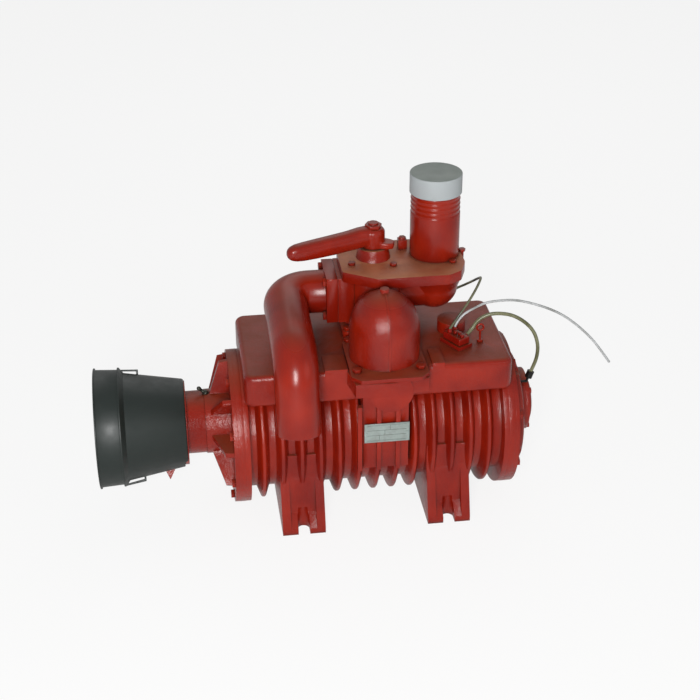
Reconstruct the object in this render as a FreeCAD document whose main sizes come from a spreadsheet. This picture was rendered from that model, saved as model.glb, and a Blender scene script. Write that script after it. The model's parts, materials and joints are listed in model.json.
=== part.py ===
import FreeCAD, Part
import math
import os
import Sketcher

Vector = FreeCAD.Vector

# Frame: X runs along the shaft with the drive end at -X, -Y is the front, Z is up.
# Z = 0 is the underside of the feet and X = 0 lies midway between the two feet.

doc = FreeCAD.newDocument("vacuum_pump")
sheet = doc.addObject("Spreadsheet::Sheet", "sizes")

SIZES = {
    # rotor chamber and barrel
    "shaft_z": 148,
    "eccentricity": 12,
    "bore_r": 88,
    "barrel_r": 102,
    "barrel_front": 213.5,
    "barrel_rear": 221,
    "flange_r": 126,
    "body_flange": 12.5,
    "cover_flange": 12,
    "gasket": 1,
    "gap": 0.3,
    # cooling ribs
    "rib_r": 121.5,
    "rib_root": 20,
    "rib_tip": 7,
    "rib_first": 179.7,
    "rib_pitch": 30.4,
    "rib_count": 13,
    # oil tank cast on the barrel
    "tank_front_end": 206,
    "tank_half_width": 108.5,
    "tank_bottom": 230,
    "tank_top": 285,
    "tank_corner": 16,
    "tank_round": 9,
    "tank_wall": 9,
    "pad_height": 4,
    "pad_depth": 50,
    "pad_drop": 22,
    "left_pad_x": 80,
    "left_pad_width": 36,
    "right_pad_x": 90,
    "right_pad_width": 20,
    "filler_x": 142,
    "filler_y": 8,
    "filler_r": 23,
    "filler_height": 19,
    # feet
    "foot_x": 119.6,
    "foot_width": 70,
    "foot_reach": 133.5,
    "toe_height": 10,
    "web_top_y": 107,
    "web_top_z": 95,
    "web": 14,
    "panel_y": 113,
    "panel_z": 29,
    "slot_r": 9.5,
    "slot_depth": 25,
    "foot_pocket": 22,
    "foot_pocket_reach": 96,
    # delivery duct on the front of the barrel
    "duct_left": 22,
    "duct_right": 51,
    "duct_y": 122,
    "duct_bottom": 112,
    "duct_wall": 9,
    "duct_rib_y": 130,
    "duct_rib_first": 5,
    "duct_rib_count": 3,
    "nose_r": 34,
    "nose_drop": 18,
    "window_height": 60,
    # check valve dome
    "valve_x": 18.5,
    "dome_y": 73,
    "dome_r": 56,
    "dome_wall": 6,
    "dome_shoulder": 55,
    "dome_arc_r": 62,
    "dome_flange": 6,
    "dome_flange_half": 61,
    "dome_flange_front": 80,
    "dome_flange_cut": 14,
    "dome_bolt_offset": 50,
    "guide": 5,
    "guide_gap": 0.6,
    "ledge": 23,
    "ledge_front": 82,
    "ledge_side": 9,
    "ledge_left": 56,
    "ledge_right": 59,
    "ledge_spread": 14,
    "seam": 3,
    "seam_proud": 2,
    "nub_r": 7,
    "nub_height": 5,
    "crossover_r": 26,
    "crossover_wall": 8,
    "crossover_y": 9,
    "crossover_rise": 52,
    # check ball and its seat
    "ball_r": 27,
    "seat_r": 38,
    "seat_hole_r": 22,
    "seat_height": 8,
    "seat_recess": 4,
    "ball_lift": 20,
    # four-way valve body
    "valve_y": 48,
    "chamber_r": 52,
    "chamber_bore_r": 42,
    "valve_base": 12,
    "valve_base_half": 56,
    "valve_base_depth": 52,
    "valve_bolt_x": 47,
    "valve_bolt_y": 43,
    "chamber_floor": 14,
    "plate_bottom": 389,
    "plate": 17,
    "bowl_r": 40,
    "bowl_wall": 8,
    "bowl_rim_r": 50,
    "bowl_rim": 14,
    "spigot_x": 118.6,
    "bowl_centre_z": 351,
    "port_z": 349,
    "port_r": 28,
    "port_pad": 25,
    "port_half": 39,
    "port_face": 43,
    "port_bolt": 30,
    "link_half": 34,
    "apron_left": 54,
    "apron_right": 110,
    "apron_y": 20,
    "apron_low": 376,
    "apron_right_low": 385,
    "apron_round": 3,
    "suction_r": 12,
    "suction_offset": 25,
    # top plate outline, from the valve axis
    "plate_front": 85,
    "plate_left_front": 5,
    "plate_left": 56.5,
    "plate_left_end": 52,
    "plate_heel": 28,
    "plate_back_left": 18,
    "plate_back": 56,
    "plate_back_right": 122,
    "plate_side_back": 22,
    "plate_right": 143,
    "plate_side_front": 40,
    "plate_corner_x": 131,
    "plate_corner_y": 72,
    "plate_right_front": 110,
    "boss_r": 28,
    "boss_top_r": 24,
    "boss_height": 18,
    # hose spigot and its cap
    "spigot_r": 40,
    "spigot_wall": 4,
    "spigot_top": 543,
    "spigot_socket": 12,
    "groove_drop": 63,
    "groove_pitch": 8,
    "groove_depth": 1.6,
    "groove_count": 5,
    "cap_wall": 1.5,
    "cap_height": 32,
    "cap_lid": 2.7,
    # lever, diverter and stop
    "stem_r": 12,
    "diverter": 8,
    "diverter_gap": 0.4,
    "stem_gap": 0.08,
    "lever_angle": 197,
    "lever_length": 150,
    "lever_width": 26,
    "lever_tip_width": 19,
    "lever_height": 32,
    "lever_tip_height": 17,
    "lever_tip_rise": 4,
    "lever_hub_r": 19,
    "lever_hub_height": 32,
    "lever_lift": 1,
    "stop_arm": 40,
    "blunt": 1.06,
    "stop_arm_width": 13,
    "stop_arm_height": 9,
    "stop_arm_angle": 301,
    "stop_x": 70,
    "stop_y": 73,
    "stop_width": 14,
    "stop_height": 16,
    "nut_af": 24,
    "nut_height": 6,
    # outlet elbow
    "pipe_r": 35,
    "pipe_wall": 4,
    "elbow_x": 128.5,
    "elbow_y": 146,
    "elbow_drop": 17,
    "elbow_end_y": 170,
    "elbow_end_z": 218,
    "elbow_bend": 50,
    "elbow_flange": 18,
    "elbow_bend_top": 40,
    # front cover
    "hub_r": 53,
    "hub_end": 267,
    "web_plate": 8,
    "web_cone_r": 112,
    "web_cone_x": 240,
    "web_hub_x": 258,
    # bearings and shaft
    "bearing_r": 40,
    "bearing_inner_r": 17.5,
    "bearing_width": 21,
    "raceway_r": 33,
    "inner_race_r": 24,
    "roller_r": 4.2,
    "roller_length": 13,
    "roller_count": 12,
    "roller_lip": 3,
    "cage_inner_r": 26.5,
    "cage_outer_r": 30.5,
    "cage_width": 17,
    "front_bearing_x": 241,
    "rear_bearing_x": 236,
    "fit": 0.05,
    "shaft_r": 20,
    "shaft_clear": 0.5,
    "spline_r": 17.45,
    "spline_root_r": 14.7,
    "spline_key": 8.7,
    "spline_start": 325,
    "shaft_end": 405,
    "lock_groove_at": 38,
    "lock_groove": 7,
    "seal_r": 31,
    "seal_width": 10,
    # rotor
    "vane_count": 7,
    "vane": 8,
    "vane_depth": 42,
    "vane_gap": 0.2,
    "vane_height": 40,
    "vane_reach": 0.4,
    # rear cover and bearing cap
    "rear_body_r": 96,
    "rear_body_end": 249,
    "rear_boss_r": 53,
    "rear_boss_end": 262,
    "scallop_r": 13,
    "scallop_pcr": 104,
    "end_cap_r": 52,
    "end_cap_flange": 6,
    "end_cap_nose_r": 39.7,
    "end_cap_dome_r": 40,
    "end_cap_end": 275,
    "end_cap_wall": 6,
    "end_cap_nose": 4.8,
    # drive guard and bracket
    "bracket_r": 51.5,
    "bracket_end": 304,
    "bracket_disc_r": 69,
    "bracket_disc": 7,
    "bracket_nose": 4.8,
    "bracket_nose_r": 39.7,
    "bracket_bore_r": 22,
    "seal_seat": 22,
    "guard_wall": 3,
    "guard_hole_r": 53,
    "guard_corner_r": 61,
    "guard_corner": 13.5,
    "guard_cone_x": 395,
    "guard_cone_r": 88,
    "guard_step_x": 402,
    "guard_step_r": 97.5,
    "guard_band_r": 94,
    "guard_band": 2.5,
    "guard_mouth_x": 443,
    "guard_mouth_r": 98.7,
    "guard_rim_r": 96,
    "clip_top_x": 399,
    "clip_top_length": 28,
    "clip_low_x": 407,
    "clip_low_length": 38,
    "clip_width": 14,
    "clip_top_r": 97,
    "clip_low_r": 99,
    "clip_bar": 4,
    "clip_slot": 3.5,
    "tab_angle": 154,
    "tab_thick": 5,
    "tab_foot_r": 55,
    "tab_side_r": 70,
    "tab_reach": 92,
    "tab_front": 340,
    "tab_tip_x": 330,
    "tab_back": 318,
    "guard_screw_pcr": 57.2,
    "guard_screw_r": 1.8,
    "guard_screw_head_r": 3.2,
    "guard_screw_head": 2.4,
    # bolts
    "bolt_r": 4,
    "bolt_clear": 0.2,
    "bolt_af": 13,
    "bolt_head": 5.5,
    "bolt_grip": 10,
    "cover_bolt_pcr": 115,
    "cover_bolt_count": 8,
    "cover_bolt_angle": 22.5,
    "small_bolt_pcr": 46.5,
    "small_bolt_r": 3,
    "small_bolt_af": 10,
    "small_bolt_head": 4,
    "small_bolt_grip": 12,
    "top_bolt_pcr": 47,
    # nameplate
    "nameplate_width": 72,
    "nameplate_height": 34,
    "nameplate_thick": 1,
    "nameplate_z": 165,
    "nameplate_x": 21,
    "rivet_r": 1.6,
    # lubricator
    "lube_x": 140.5,
    "lube_y": 43,
    "lube_turn": 30,
    "lube_width": 22,
    "lube_length": 40,
    "lube_plate": 6,
    "lube_height": 12,
    "tube_r": 3,
    "thin_tube_r": 2,
    "fitting_r": 4.2,
    "fitting_height": 7,
    "drip_screw_r": 2.2,
    "drip_head_r": 3.2,
    "drip_head": 5,
    "drip_depth": 8,
    "drip_pitch": 8,
    "drip_first": 15,
    "drip_side": 1,
    # dipstick, plugs and small fittings
    "dip_x": 180,
    "dip_y": 40,
    "dip_r": 2,
    "dip_ring_r": 5.5,
    "dip_wire_r": 1.8,
    "dip_stem": 16,
    "dip_collar_r": 5,
    "dip_collar": 4,
    "dip_clear": 6,
    "plug_r": 7,
    "plug_af": 17,
    "plug_head": 6,
    "plug_z": 258,
    "plug_x": 150,
    "nipple_x": 263,
    "nipple_r": 3,
    "nipple_height": 11,
    "oil_port_y": 32,
    "oil_port_z": 199,
    "oil_port_r": 5,
    "oil_port_height": 4,
    "oil_fitting_r": 6,
    "oil_pipe_r": 2,
}


class Size:
    """A number together with the sheet expression that gives it."""

    def __init__(self, value, text):
        self.value = value
        self.text = text

    def __add__(self, other):
        other = as_size(other)
        return Size(self.value + other.value, f"({self.text} + {other.text})")

    def __sub__(self, other):
        other = as_size(other)
        return Size(self.value - other.value, f"({self.text} - {other.text})")

    def __mul__(self, other):
        other = as_size(other)
        return Size(self.value * other.value, f"({self.text} * {other.text})")

    def __truediv__(self, other):
        other = as_size(other)
        return Size(self.value / other.value, f"({self.text} / {other.text})")

    def __radd__(self, other):
        return as_size(other) + self

    def __rsub__(self, other):
        return as_size(other) - self

    def __rmul__(self, other):
        return as_size(other) * self

    def __neg__(self):
        return Size(-self.value, f"(-1 * {self.text})")


def as_size(number):
    return number if isinstance(number, Size) else Size(number, f"({number!r})")


def cos(angle):
    angle = as_size(angle)
    return Size(math.cos(math.radians(angle.value)), f"cos({angle.text})")


def sin(angle):
    angle = as_size(angle)
    return Size(math.sin(math.radians(angle.value)), f"sin({angle.text})")


def root(number):
    return Size(math.sqrt(number.value), f"sqrt({number.text})")


def higher(first, second):
    return Size(max(first.value, second.value), f"max({first.text}; {second.text})")


class Sheet:
    """Reads a cell of the sheet by its alias."""

    def __getattr__(self, alias):
        return Size(SIZES[alias], f"sizes.{alias}")


for row, (alias, number) in enumerate(SIZES.items(), start=1):
    sheet.set(f"A{row}", alias.replace("_", " "))
    sheet.set(f"B{row}", str(number))
    sheet.setAlias(f"B{row}", alias)
doc.recompute()
S = Sheet()

# places worked out from the sheet
barrel_z = S.shaft_z - S.eccentricity
rotor_r = S.bore_r - S.eccentricity - S.gap
front_face = -S.barrel_front
rear_face = S.barrel_rear
front_cover_face = front_face - S.gasket
rear_cover_face = rear_face + S.gasket
dome_base = S.tank_top + S.gasket
shaft_z = S.shaft_z
valve_base_z = S.tank_top + S.gasket
plate_top = S.plate_bottom + S.plate
lever_z = plate_top + S.boss_height + S.lever_lift
crossover_z = dome_base + S.crossover_rise + 1
lube_top = S.tank_top + S.lube_plate + S.lube_height


def ball_rest():
    """Height of the ball's centre when it lies just above its seat's edge."""
    return S.tank_top + S.seat_height + root(S.ball_r * S.ball_r - S.seat_hole_r * S.seat_hole_r) + S.gap


ball_z = ball_rest()
bolt_corner_r = S.bolt_af / root(as_size(3))


def bind(item, **values):
    """Ties properties of a document object to the sheet. Two underscores stand for a dot."""
    for name, value in values.items():
        path = name.replace("__", ".")
        if isinstance(value, Size):
            item.setExpression(path, value.text)
        else:
            item.setExpression(path, repr(value))
    return item


TURNS = {
    "+X": FreeCAD.Rotation(Vector(0, 1, 0), 90),
    "-X": FreeCAD.Rotation(Vector(0, 1, 0), -90),
    "+Y": FreeCAD.Rotation(Vector(1, 0, 0), -90),
    "-Y": FreeCAD.Rotation(Vector(1, 0, 0), 90),
    "+Z": FreeCAD.Rotation(),
    "-Z": FreeCAD.Rotation(Vector(1, 0, 0), 180),
}


def place(item, at, turn=None):
    if turn is not None:
        item.Placement = FreeCAD.Placement(Vector(), turn)
    x, y, z = at
    return bind(item, Placement__Base__x=x, Placement__Base__y=y, Placement__Base__z=z)


def cylinder(name, radius, height, at, along="+Z"):
    item = doc.addObject("Part::Cylinder", name)
    bind(item, Radius=radius, Height=height)
    return place(item, at, TURNS[along])


def box(name, low, size):
    item = doc.addObject("Part::Box", name)
    bind(item, Length=size[0], Width=size[1], Height=size[2])
    return place(item, low)


def cone(name, base_r, top_r, height, at, along="+Z"):
    item = doc.addObject("Part::Cone", name)
    bind(item, Radius1=base_r, Radius2=top_r, Height=height)
    return place(item, at, TURNS[along])


def ball(name, radius, at, top_angle=90):
    item = doc.addObject("Part::Sphere", name)
    bind(item, Radius=radius, Angle2=top_angle)
    return place(item, at)


def hexagon(name, across_flats, height, at, along="+Z"):
    item = doc.addObject("Part::Prism", name)
    item.Polygon = 6
    bind(item, Circumradius=across_flats / root(as_size(3)), Height=height)
    return place(item, at, TURNS[along])


def fused(name, pieces):
    item = doc.addObject("Part::MultiFuse", name)
    item.Shapes = pieces
    item.Refine = True
    return item


def cut(name, base, tools):
    item = doc.addObject("Part::Cut", name)
    item.Base = base
    item.Tool = tools[0] if len(tools) == 1 else fused(name + "_tools", tools)
    item.Refine = True
    return item


def common(name, pieces):
    item = doc.addObject("Part::MultiCommon", name)
    item.Shapes = pieces
    return item


def together(name, pieces):
    """Several separate solids kept as one group."""
    item = doc.addObject("Part::Compound", name)
    item.Links = pieces
    return item


def new_body(name, at=(0, 0, 0), turn=None):
    body = doc.addObject("PartDesign::Body", name)
    return place(body, at, turn)


def plane_of(body, plane):
    return next(p for p in body.Origin.OriginFeatures if p.Role == plane)


def sketch(body, plane, points, arcs=None, lift=0):
    """A closed outline on an origin plane, its corners tied to the sheet.

    Edge i runs from corner i to the next one. arcs gives the round edges as
    {edge: (radius, side)}, with side +1 where the edge bulges to its left.
    """
    arcs = arcs or {}
    outline = body.newObject("Sketcher::SketchObject", body.Name + "_outline")
    outline.AttachmentSupport = [(plane_of(body, plane), "")]
    outline.MapMode = "FlatFace"
    bind(outline, AttachmentOffset__Base__z=lift)
    corners = [(as_size(x), as_size(y)) for x, y in points]
    spots = [Vector(x.value, y.value, 0) for x, y in corners]
    count = len(spots)
    starts, ends = [], []
    for edge, start in enumerate(spots):
        end = spots[(edge + 1) % count]
        if edge in arcs:
            radius, side = as_size(arcs[edge][0]).value, arcs[edge][1]
            chord = end - start
            rise = radius - math.sqrt(max(radius**2 - chord.Length**2 / 4, 0))
            left = Vector(-chord.y, chord.x, 0).normalize()
            middle = (start + end) / 2 + left * rise * side
            ends_of_arc = (end, start) if side > 0 else (start, end)
            outline.addGeometry(Part.Arc(ends_of_arc[0], middle, ends_of_arc[1]), False)
            starts.append(2 if side > 0 else 1)
            ends.append(1 if side > 0 else 2)
        else:
            outline.addGeometry(Part.LineSegment(start, end), False)
            starts.append(1)
            ends.append(2)
    for edge in range(count):
        after = (edge + 1) % count
        joint = Sketcher.Constraint("Coincident", edge, ends[edge], after, starts[after])
        outline.addConstraint(joint)
    for edge, (x, y) in enumerate(corners):
        for kind, value, axis in (("DistanceX", x, -2), ("DistanceY", y, -1)):
            if value.text in ("(0)", "(0.0)"):
                held = Sketcher.Constraint("PointOnObject", edge, starts[edge], axis)
                outline.addConstraint(held)
                continue
            held = Sketcher.Constraint(kind, -1, 1, edge, starts[edge], value.value)
            number = outline.addConstraint(held)
            outline.setExpression(f"Constraints[{number}]", value.text)
    for edge, (radius, side) in arcs.items():
        radius = as_size(radius)
        number = outline.addConstraint(Sketcher.Constraint("Radius", edge, radius.value))
        outline.setExpression(f"Constraints[{number}]", radius.text)
    return outline


def turned(body, outline, axis="H_Axis", angle=360, kind="Revolution"):
    feature = body.newObject("PartDesign::" + kind, body.Name + "_" + kind.lower())
    feature.Profile = outline
    feature.ReferenceAxis = (outline, [axis])
    feature.Angle = angle
    return feature


def padded(body, outline, length, kind="Pad", reversed_way=False):
    feature = body.newObject("PartDesign::" + kind, body.Name + "_" + kind.lower())
    feature.Profile = outline
    feature.Reversed = reversed_way
    bind(feature, Length=length)
    return feature


def rounded(body, base, radius, wanted, name="rounding"):
    """Fillets the edges of base for which wanted(edge) holds."""
    doc.recompute()
    names = [f"Edge{i + 1}" for i, e in enumerate(base.Shape.Edges) if wanted(e)]
    feature = body.newObject("PartDesign::Fillet", body.Name + "_" + name)
    feature.Base = (base, names)
    bind(feature, Radius=radius)
    body.Tip = feature
    return feature


def spin(name, profile, at, arcs=None, axis="H_Axis"):
    """A solid of revolution. Its outline is (along X, radius), or (radius, along Z)."""
    body = new_body(name, at)
    turned(body, sketch(body, "XZ_Plane", profile, arcs), axis)
    return body


def ring_along_x(name, inner, outer, low, high, z):
    profile = [(low, inner), (high, inner), (high, outer), (low, outer)]
    return spin(name, profile, (0, 0, z))


def around_x(count, radius, z, first=0.0):
    """Places (y, z), evenly spaced on a circle about an axis along X."""
    places = []
    number = int(as_size(count).value)
    for i in range(number):
        angle = first + 360.0 * i / number
        places.append((-radius * sin(angle), z + radius * cos(angle)))
    return places


OPPOSITE = {"+X": "-X", "-X": "+X", "+Y": "-Y", "-Y": "+Y", "+Z": "-Z", "-Z": "+Z"}


def bolt(name, at, head_way, length, size="bolt"):
    """A hexagon bolt. Its head stands on the seat at `at`, its shank goes the other way."""
    radius, across = getattr(S, size + "_r"), getattr(S, size + "_af")
    head = hexagon(name + "_head", across, getattr(S, size + "_head"), at, head_way)
    shank = cylinder(name + "_shank", radius, length, at, OPPOSITE[head_way])
    return fused(name, [head, shank])


def bend_path(points, radii):
    """Straight runs joined by tangent arcs, as one wire."""
    edges = []
    start = points[0]
    for i, corner in enumerate(points[1:-1]):
        run_in = corner - points[i]
        run_out = points[i + 2] - corner
        half = run_in.getAngle(run_out) / 2
        reach = radii[i] * math.tan(half)
        low = corner - Vector(run_in).normalize() * reach
        high = corner + Vector(run_out).normalize() * reach
        inward = ((low + high) / 2 - corner).normalize()
        middle = corner + inward * (radii[i] / math.cos(half) - radii[i])
        edges.append(Part.LineSegment(start, low).toShape())
        edges.append(Part.Arc(low, middle, high).toShape())
        start = high
    edges.append(Part.LineSegment(start, points[-1]).toShape())
    return Part.Wire(edges)


def swept(path, radius):
    first = path.Edges[0]
    at = first.valueAt(first.FirstParameter)
    section = Part.Wire(Part.makeCircle(radius, at, first.tangentAt(first.FirstParameter)))
    return path.makePipeShell([section], True, False)


def free_radii(points):
    """The largest arcs that a free tube's runs allow."""
    radii = []
    for before, corner, after in zip(points, points[1:], points[2:]):
        shorter = min((corner - before).Length, (after - corner).Length)
        half = (corner - before).getAngle(after - corner) / 2
        radii.append(0.45 * shorter / math.tan(half))
    return radii


def solid_feature(name, shape):
    item = doc.addObject("Part::Feature", name)
    item.Shape = shape
    return item


kept = {}


def keep(item, label):
    item.Label = label
    kept[label] = item
    return item


def housing():
    """Barrel with its ribs, oil tank, feet and delivery duct, one casting."""
    barrel = new_body("barrel", (0, 0, barrel_z))
    neck_front = front_face + S.body_flange
    neck_rear = rear_face - S.body_flange
    profile = [
        (front_face, S.bore_r),
        (rear_face, S.bore_r),
        (rear_face, S.flange_r),
        (neck_rear, S.flange_r),
        (neck_rear, S.barrel_r),
        (neck_front, S.barrel_r),
        (neck_front, S.flange_r),
        (front_face, S.flange_r),
    ]
    turned(barrel, sketch(barrel, "XZ_Plane", profile))
    sunk = S.barrel_r - S.gap
    first = -S.rib_first
    tooth = [
        (first - S.rib_root / 2, sunk),
        (first + S.rib_root / 2, sunk),
        (first + S.rib_root / 2, S.barrel_r),
        (first + S.rib_tip / 2, S.rib_r - S.rib_tip / 4),
        (first + S.rib_tip / 4, S.rib_r),
        (first - S.rib_tip / 4, S.rib_r),
        (first - S.rib_tip / 2, S.rib_r - S.rib_tip / 4),
        (first - S.rib_root / 2, S.barrel_r),
    ]
    outline = sketch(barrel, "XZ_Plane", tooth)
    rib = turned(barrel, outline)
    ribs = barrel.newObject("PartDesign::LinearPattern", "ribs")
    ribs.Originals = [rib]
    ribs.Direction = (outline, ["H_Axis"])
    bind(ribs, Length=S.rib_pitch * (S.rib_count - 1), Occurrences=S.rib_count)
    barrel.Tip = ribs

    tank = new_body("tank_block", (0, 0, S.tank_bottom))
    corners = [
        (-S.tank_front_end, -S.tank_half_width),
        (rear_face, -S.tank_half_width),
        (rear_face, S.tank_half_width),
        (-S.tank_front_end, S.tank_half_width),
    ]
    block = padded(tank, sketch(tank, "XY_Plane", corners), S.tank_top - S.tank_bottom)
    upright = rounded(tank, block, S.tank_corner, is_upright)
    rounded(tank, upright, S.tank_round, is_level)

    doc.recompute()
    pieces = [barrel, tank, duct()]
    for side in (-1, 1):
        pieces.append(foot(side))
    pieces += tank_pads()
    solid = fused("casting", pieces)
    return keep(cut("housing", solid, passages()), "housing")


def is_upright(edge):
    return len(edge.Vertexes) == 2 and edge.tangentAt(edge.FirstParameter).cross(Vector(0, 0, 1)).Length < 1e-6


def is_level(edge):
    return edge.BoundBox.ZLength < 1e-6


def foot(side):
    """A saddle across the barrel with two webs, a recessed panel and open slots."""
    name = "drive_foot" if side < 0 else "rear_foot"
    left = S.foot_x * side - S.foot_width / 2
    body = new_body(name)
    profile = [
        (-S.foot_reach, 0),
        (S.foot_reach, 0),
        (S.foot_reach, S.toe_height),
        (S.web_top_y, S.web_top_z),
        (S.web_top_y, barrel_z),
        (-S.web_top_y, barrel_z),
        (-S.web_top_y, S.web_top_z),
        (-S.foot_reach, S.toe_height),
    ]
    saddle = padded(body, sketch(body, "YZ_Plane", profile, lift=left), S.foot_width)
    tools = []
    for way in (-1, 1):
        panel = new_body(f"{name}_panel_{'front' if way < 0 else 'back'}")
        outer = S.foot_reach + S.gap
        hollow = [
            (way * outer, S.toe_height),
            (way * S.foot_reach, S.toe_height),
            (way * S.panel_y, S.panel_z),
            (way * S.web_top_y, S.web_top_z + S.web),
            (way * outer, S.web_top_z + S.web),
        ]
        outline = sketch(panel, "YZ_Plane", hollow, lift=left + S.web)
        padded(panel, outline, S.foot_width - 2 * S.web)
        tools.append(panel)
        inner = S.foot_reach - S.slot_depth + S.slot_r
        tall = S.panel_z + S.toe_height
        mid = S.foot_x * side
        tools.append(cylinder(name + "_slot", S.slot_r, tall, (mid, way * inner, -S.gap)))
        low_y = inner if way > 0 else -S.foot_reach - S.gap
        size = (2 * S.slot_r, S.slot_depth - S.slot_r + S.gap, tall)
        tools.append(box(name + "_slot_mouth", (mid - S.slot_r, low_y, -S.gap), size))
    reach = S.foot_pocket_reach
    low = (left + S.web, -reach, -S.gap)
    size = (S.foot_width - 2 * S.web, 2 * reach, S.foot_pocket + S.gap)
    tools.append(box(name + "_pocket", low, size))
    return cut(name + "_casting", body, tools)


def duct():
    """Delivery duct on the barrel's front, with the nose that carries the dome."""
    width = S.duct_left + S.duct_right
    depth = S.duct_y - S.bore_r / 2
    panel = box(
        "duct_panel",
        (-S.duct_left, -S.duct_y, S.duct_bottom),
        (width, depth, S.tank_top - S.ledge - S.duct_bottom),
    )
    pieces = [panel]
    first_rib = int(S.duct_rib_first.value)
    for number in range(first_rib, first_rib + int(S.duct_rib_count.value)):
        x = -S.rib_first + S.rib_pitch * number
        low = (x - S.rib_tip / 2, -S.duct_rib_y, S.duct_bottom)
        height = S.tank_bottom - S.duct_bottom
        pieces.append(box("duct_rib", low, (S.rib_tip, S.rib_tip + 2, height)))
    nose_front = S.dome_y + S.ledge_front - 2
    at = (S.valve_x, -nose_front, S.tank_top - S.nose_drop)
    nose = cylinder("nose", S.nose_r, nose_front - S.bore_r, at, "+Y")
    over = box(
        "nose_trim",
        (S.valve_x - S.nose_r, -nose_front, S.tank_top),
        (2 * S.nose_r, nose_front, S.nose_r),
    )
    pieces.append(cut("nose_casting", nose, [over]))
    ledge = new_body("ledge", (S.valve_x, -S.dome_y, S.tank_top - S.ledge))
    padded(ledge, sketch(ledge, "XY_Plane", ledge_outline()), S.ledge)
    pieces.append(ledge)
    return fused("duct", pieces)


def ledge_outline():
    """Plan of the ledge under the dome, about the dome axis."""
    front = -S.ledge_front
    return [
        (-S.ledge_left, front + 2),
        (0, front),
        (S.ledge_right, front + S.ledge_side),
        (S.ledge_right + S.ledge_spread, 0),
        (-S.ledge_left - S.ledge_spread, 0),
    ]


def tank_pads():
    """Raised pads on the tank's front edge and the round boss behind the lubricator."""
    pads = []
    sides = (
        ("left_pad", -S.left_pad_x, S.left_pad_width),
        ("right_pad", S.right_pad_x, S.right_pad_width),
    )
    for name, x, width in sides:
        low = (x, -S.tank_half_width, S.tank_top - S.pad_drop)
        size = (width, S.pad_depth, S.pad_drop + S.pad_height)
        pads.append(box(name, low, size))
    at = (S.filler_x, S.filler_y, S.tank_top - S.gap)
    pads.append(cylinder("filler_boss", S.filler_r, S.filler_height + S.gap, at))
    return pads


def passages():
    """Everything cut out of the casting: chamber, tank space, ducts and bolt holes."""
    length = S.barrel_front + S.barrel_rear
    tools = [cylinder("chamber", S.bore_r, length, (front_face, 0, barrel_z), "+X")]
    wall = S.tank_wall
    inside = box(
        "tank_inside",
        (-S.tank_front_end + wall, -S.tank_half_width + wall, S.tank_bottom + wall),
        (
            S.tank_front_end + S.barrel_rear - 2 * wall,
            2 * (S.tank_half_width - wall),
            S.tank_top - S.tank_bottom - 2 * wall,
        ),
    )
    keep_out = cylinder("barrel_cover", S.barrel_r + wall / 2, length, (front_face, 0, barrel_z), "+X")
    riser_x = S.valve_x - S.seat_hole_r - wall
    riser = box(
        "port_walls",
        (riser_x, -S.tank_half_width, S.tank_bottom),
        (2 * (S.seat_hole_r + wall), S.tank_half_width * 2, S.tank_top - S.tank_bottom),
    )
    tools.append(cut("tank_space", inside, [keep_out, riser]))
    window = box(
        "port_window",
        (S.valve_x - S.seat_hole_r, -S.duct_y + S.duct_wall, barrel_z + S.duct_wall),
        (2 * S.seat_hole_r, S.duct_y - S.duct_wall - S.bore_r / 2, S.window_height),
    )
    tools.append(window)
    climb = box(
        "port_climb",
        (S.valve_x - S.seat_hole_r, -S.duct_y + S.duct_wall, barrel_z + S.duct_wall),
        (
            2 * S.seat_hole_r,
            S.duct_y - S.duct_wall - S.dome_y,
            S.tank_top - S.ledge - barrel_z - S.duct_wall,
        ),
    )
    tools.append(climb)
    at = (S.valve_x, -S.dome_y, S.tank_bottom + S.gasket)
    tools.append(cylinder("seat_hole", S.seat_hole_r, S.tank_top - S.tank_bottom, at))
    at = (S.valve_x, -S.dome_y, S.tank_top - S.seat_recess)
    tools.append(cylinder("seat_recess", S.seat_r + S.fit, S.seat_recess + S.gap, at))
    suction_y = S.valve_y + S.suction_offset
    tools.append(
        cylinder(
            "suction_hole", S.suction_r, S.tank_top - barrel_z, (S.valve_x, suction_y, barrel_z)
        )
    )
    hole_r = S.bolt_r + S.bolt_clear
    for y, z in around_x(S.cover_bolt_count, S.cover_bolt_pcr, barrel_z, S.cover_bolt_angle):
        tools.append(cylinder("front_hole", hole_r, S.bolt_grip, (front_face, y, z), "+X"))
        tools.append(cylinder("rear_hole", hole_r, S.bolt_grip, (rear_face, y, z), "-X"))
    for x, y in flange_bolt_places():
        tools.append(cylinder("flange_hole", hole_r, S.bolt_grip, (x, y, S.tank_top), "-Z"))
    at = (S.dip_x, -S.dip_y, S.tank_top - S.bolt_grip)
    tools.append(cylinder("dipstick_hole", S.dip_r + S.gap, 2 * S.bolt_grip, at))
    at = (S.plug_x, S.tank_half_width, S.plug_z)
    tools.append(cylinder("drain_hole", S.plug_r + S.bolt_clear, S.tank_wall + S.gap, at, "-Y"))
    return tools


def dome_bolt_places():
    reach = S.dome_bolt_offset
    return [(S.valve_x + i * reach, -S.dome_y + j * reach) for i in (-1, 1) for j in (-1, 1)]


def valve_bolt_places():
    across, deep = S.valve_bolt_x, S.valve_bolt_y
    return [(S.valve_x + i * across, S.valve_y + j * deep) for i in (-1, 1) for j in (-1, 1)]


def flange_bolt_places():
    return dome_bolt_places() + valve_bolt_places()


def crossed_plates(name, count, length, thick, depth, at):
    """Thin plates through an axis along X, turned evenly about it."""
    plates = []
    for i in range(count):
        turn = FreeCAD.Rotation(Vector(1, 0, 0), 180.0 * i / count)
        plate = new_body(f"{name}_{i}", at, turn)
        half, side = length, thick / 2
        outline = [(-side, -half), (side, -half), (side, half), (-side, half)]
        padded(plate, sketch(plate, "YZ_Plane", outline), depth)
        plates.append(plate)
    return plates


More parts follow.
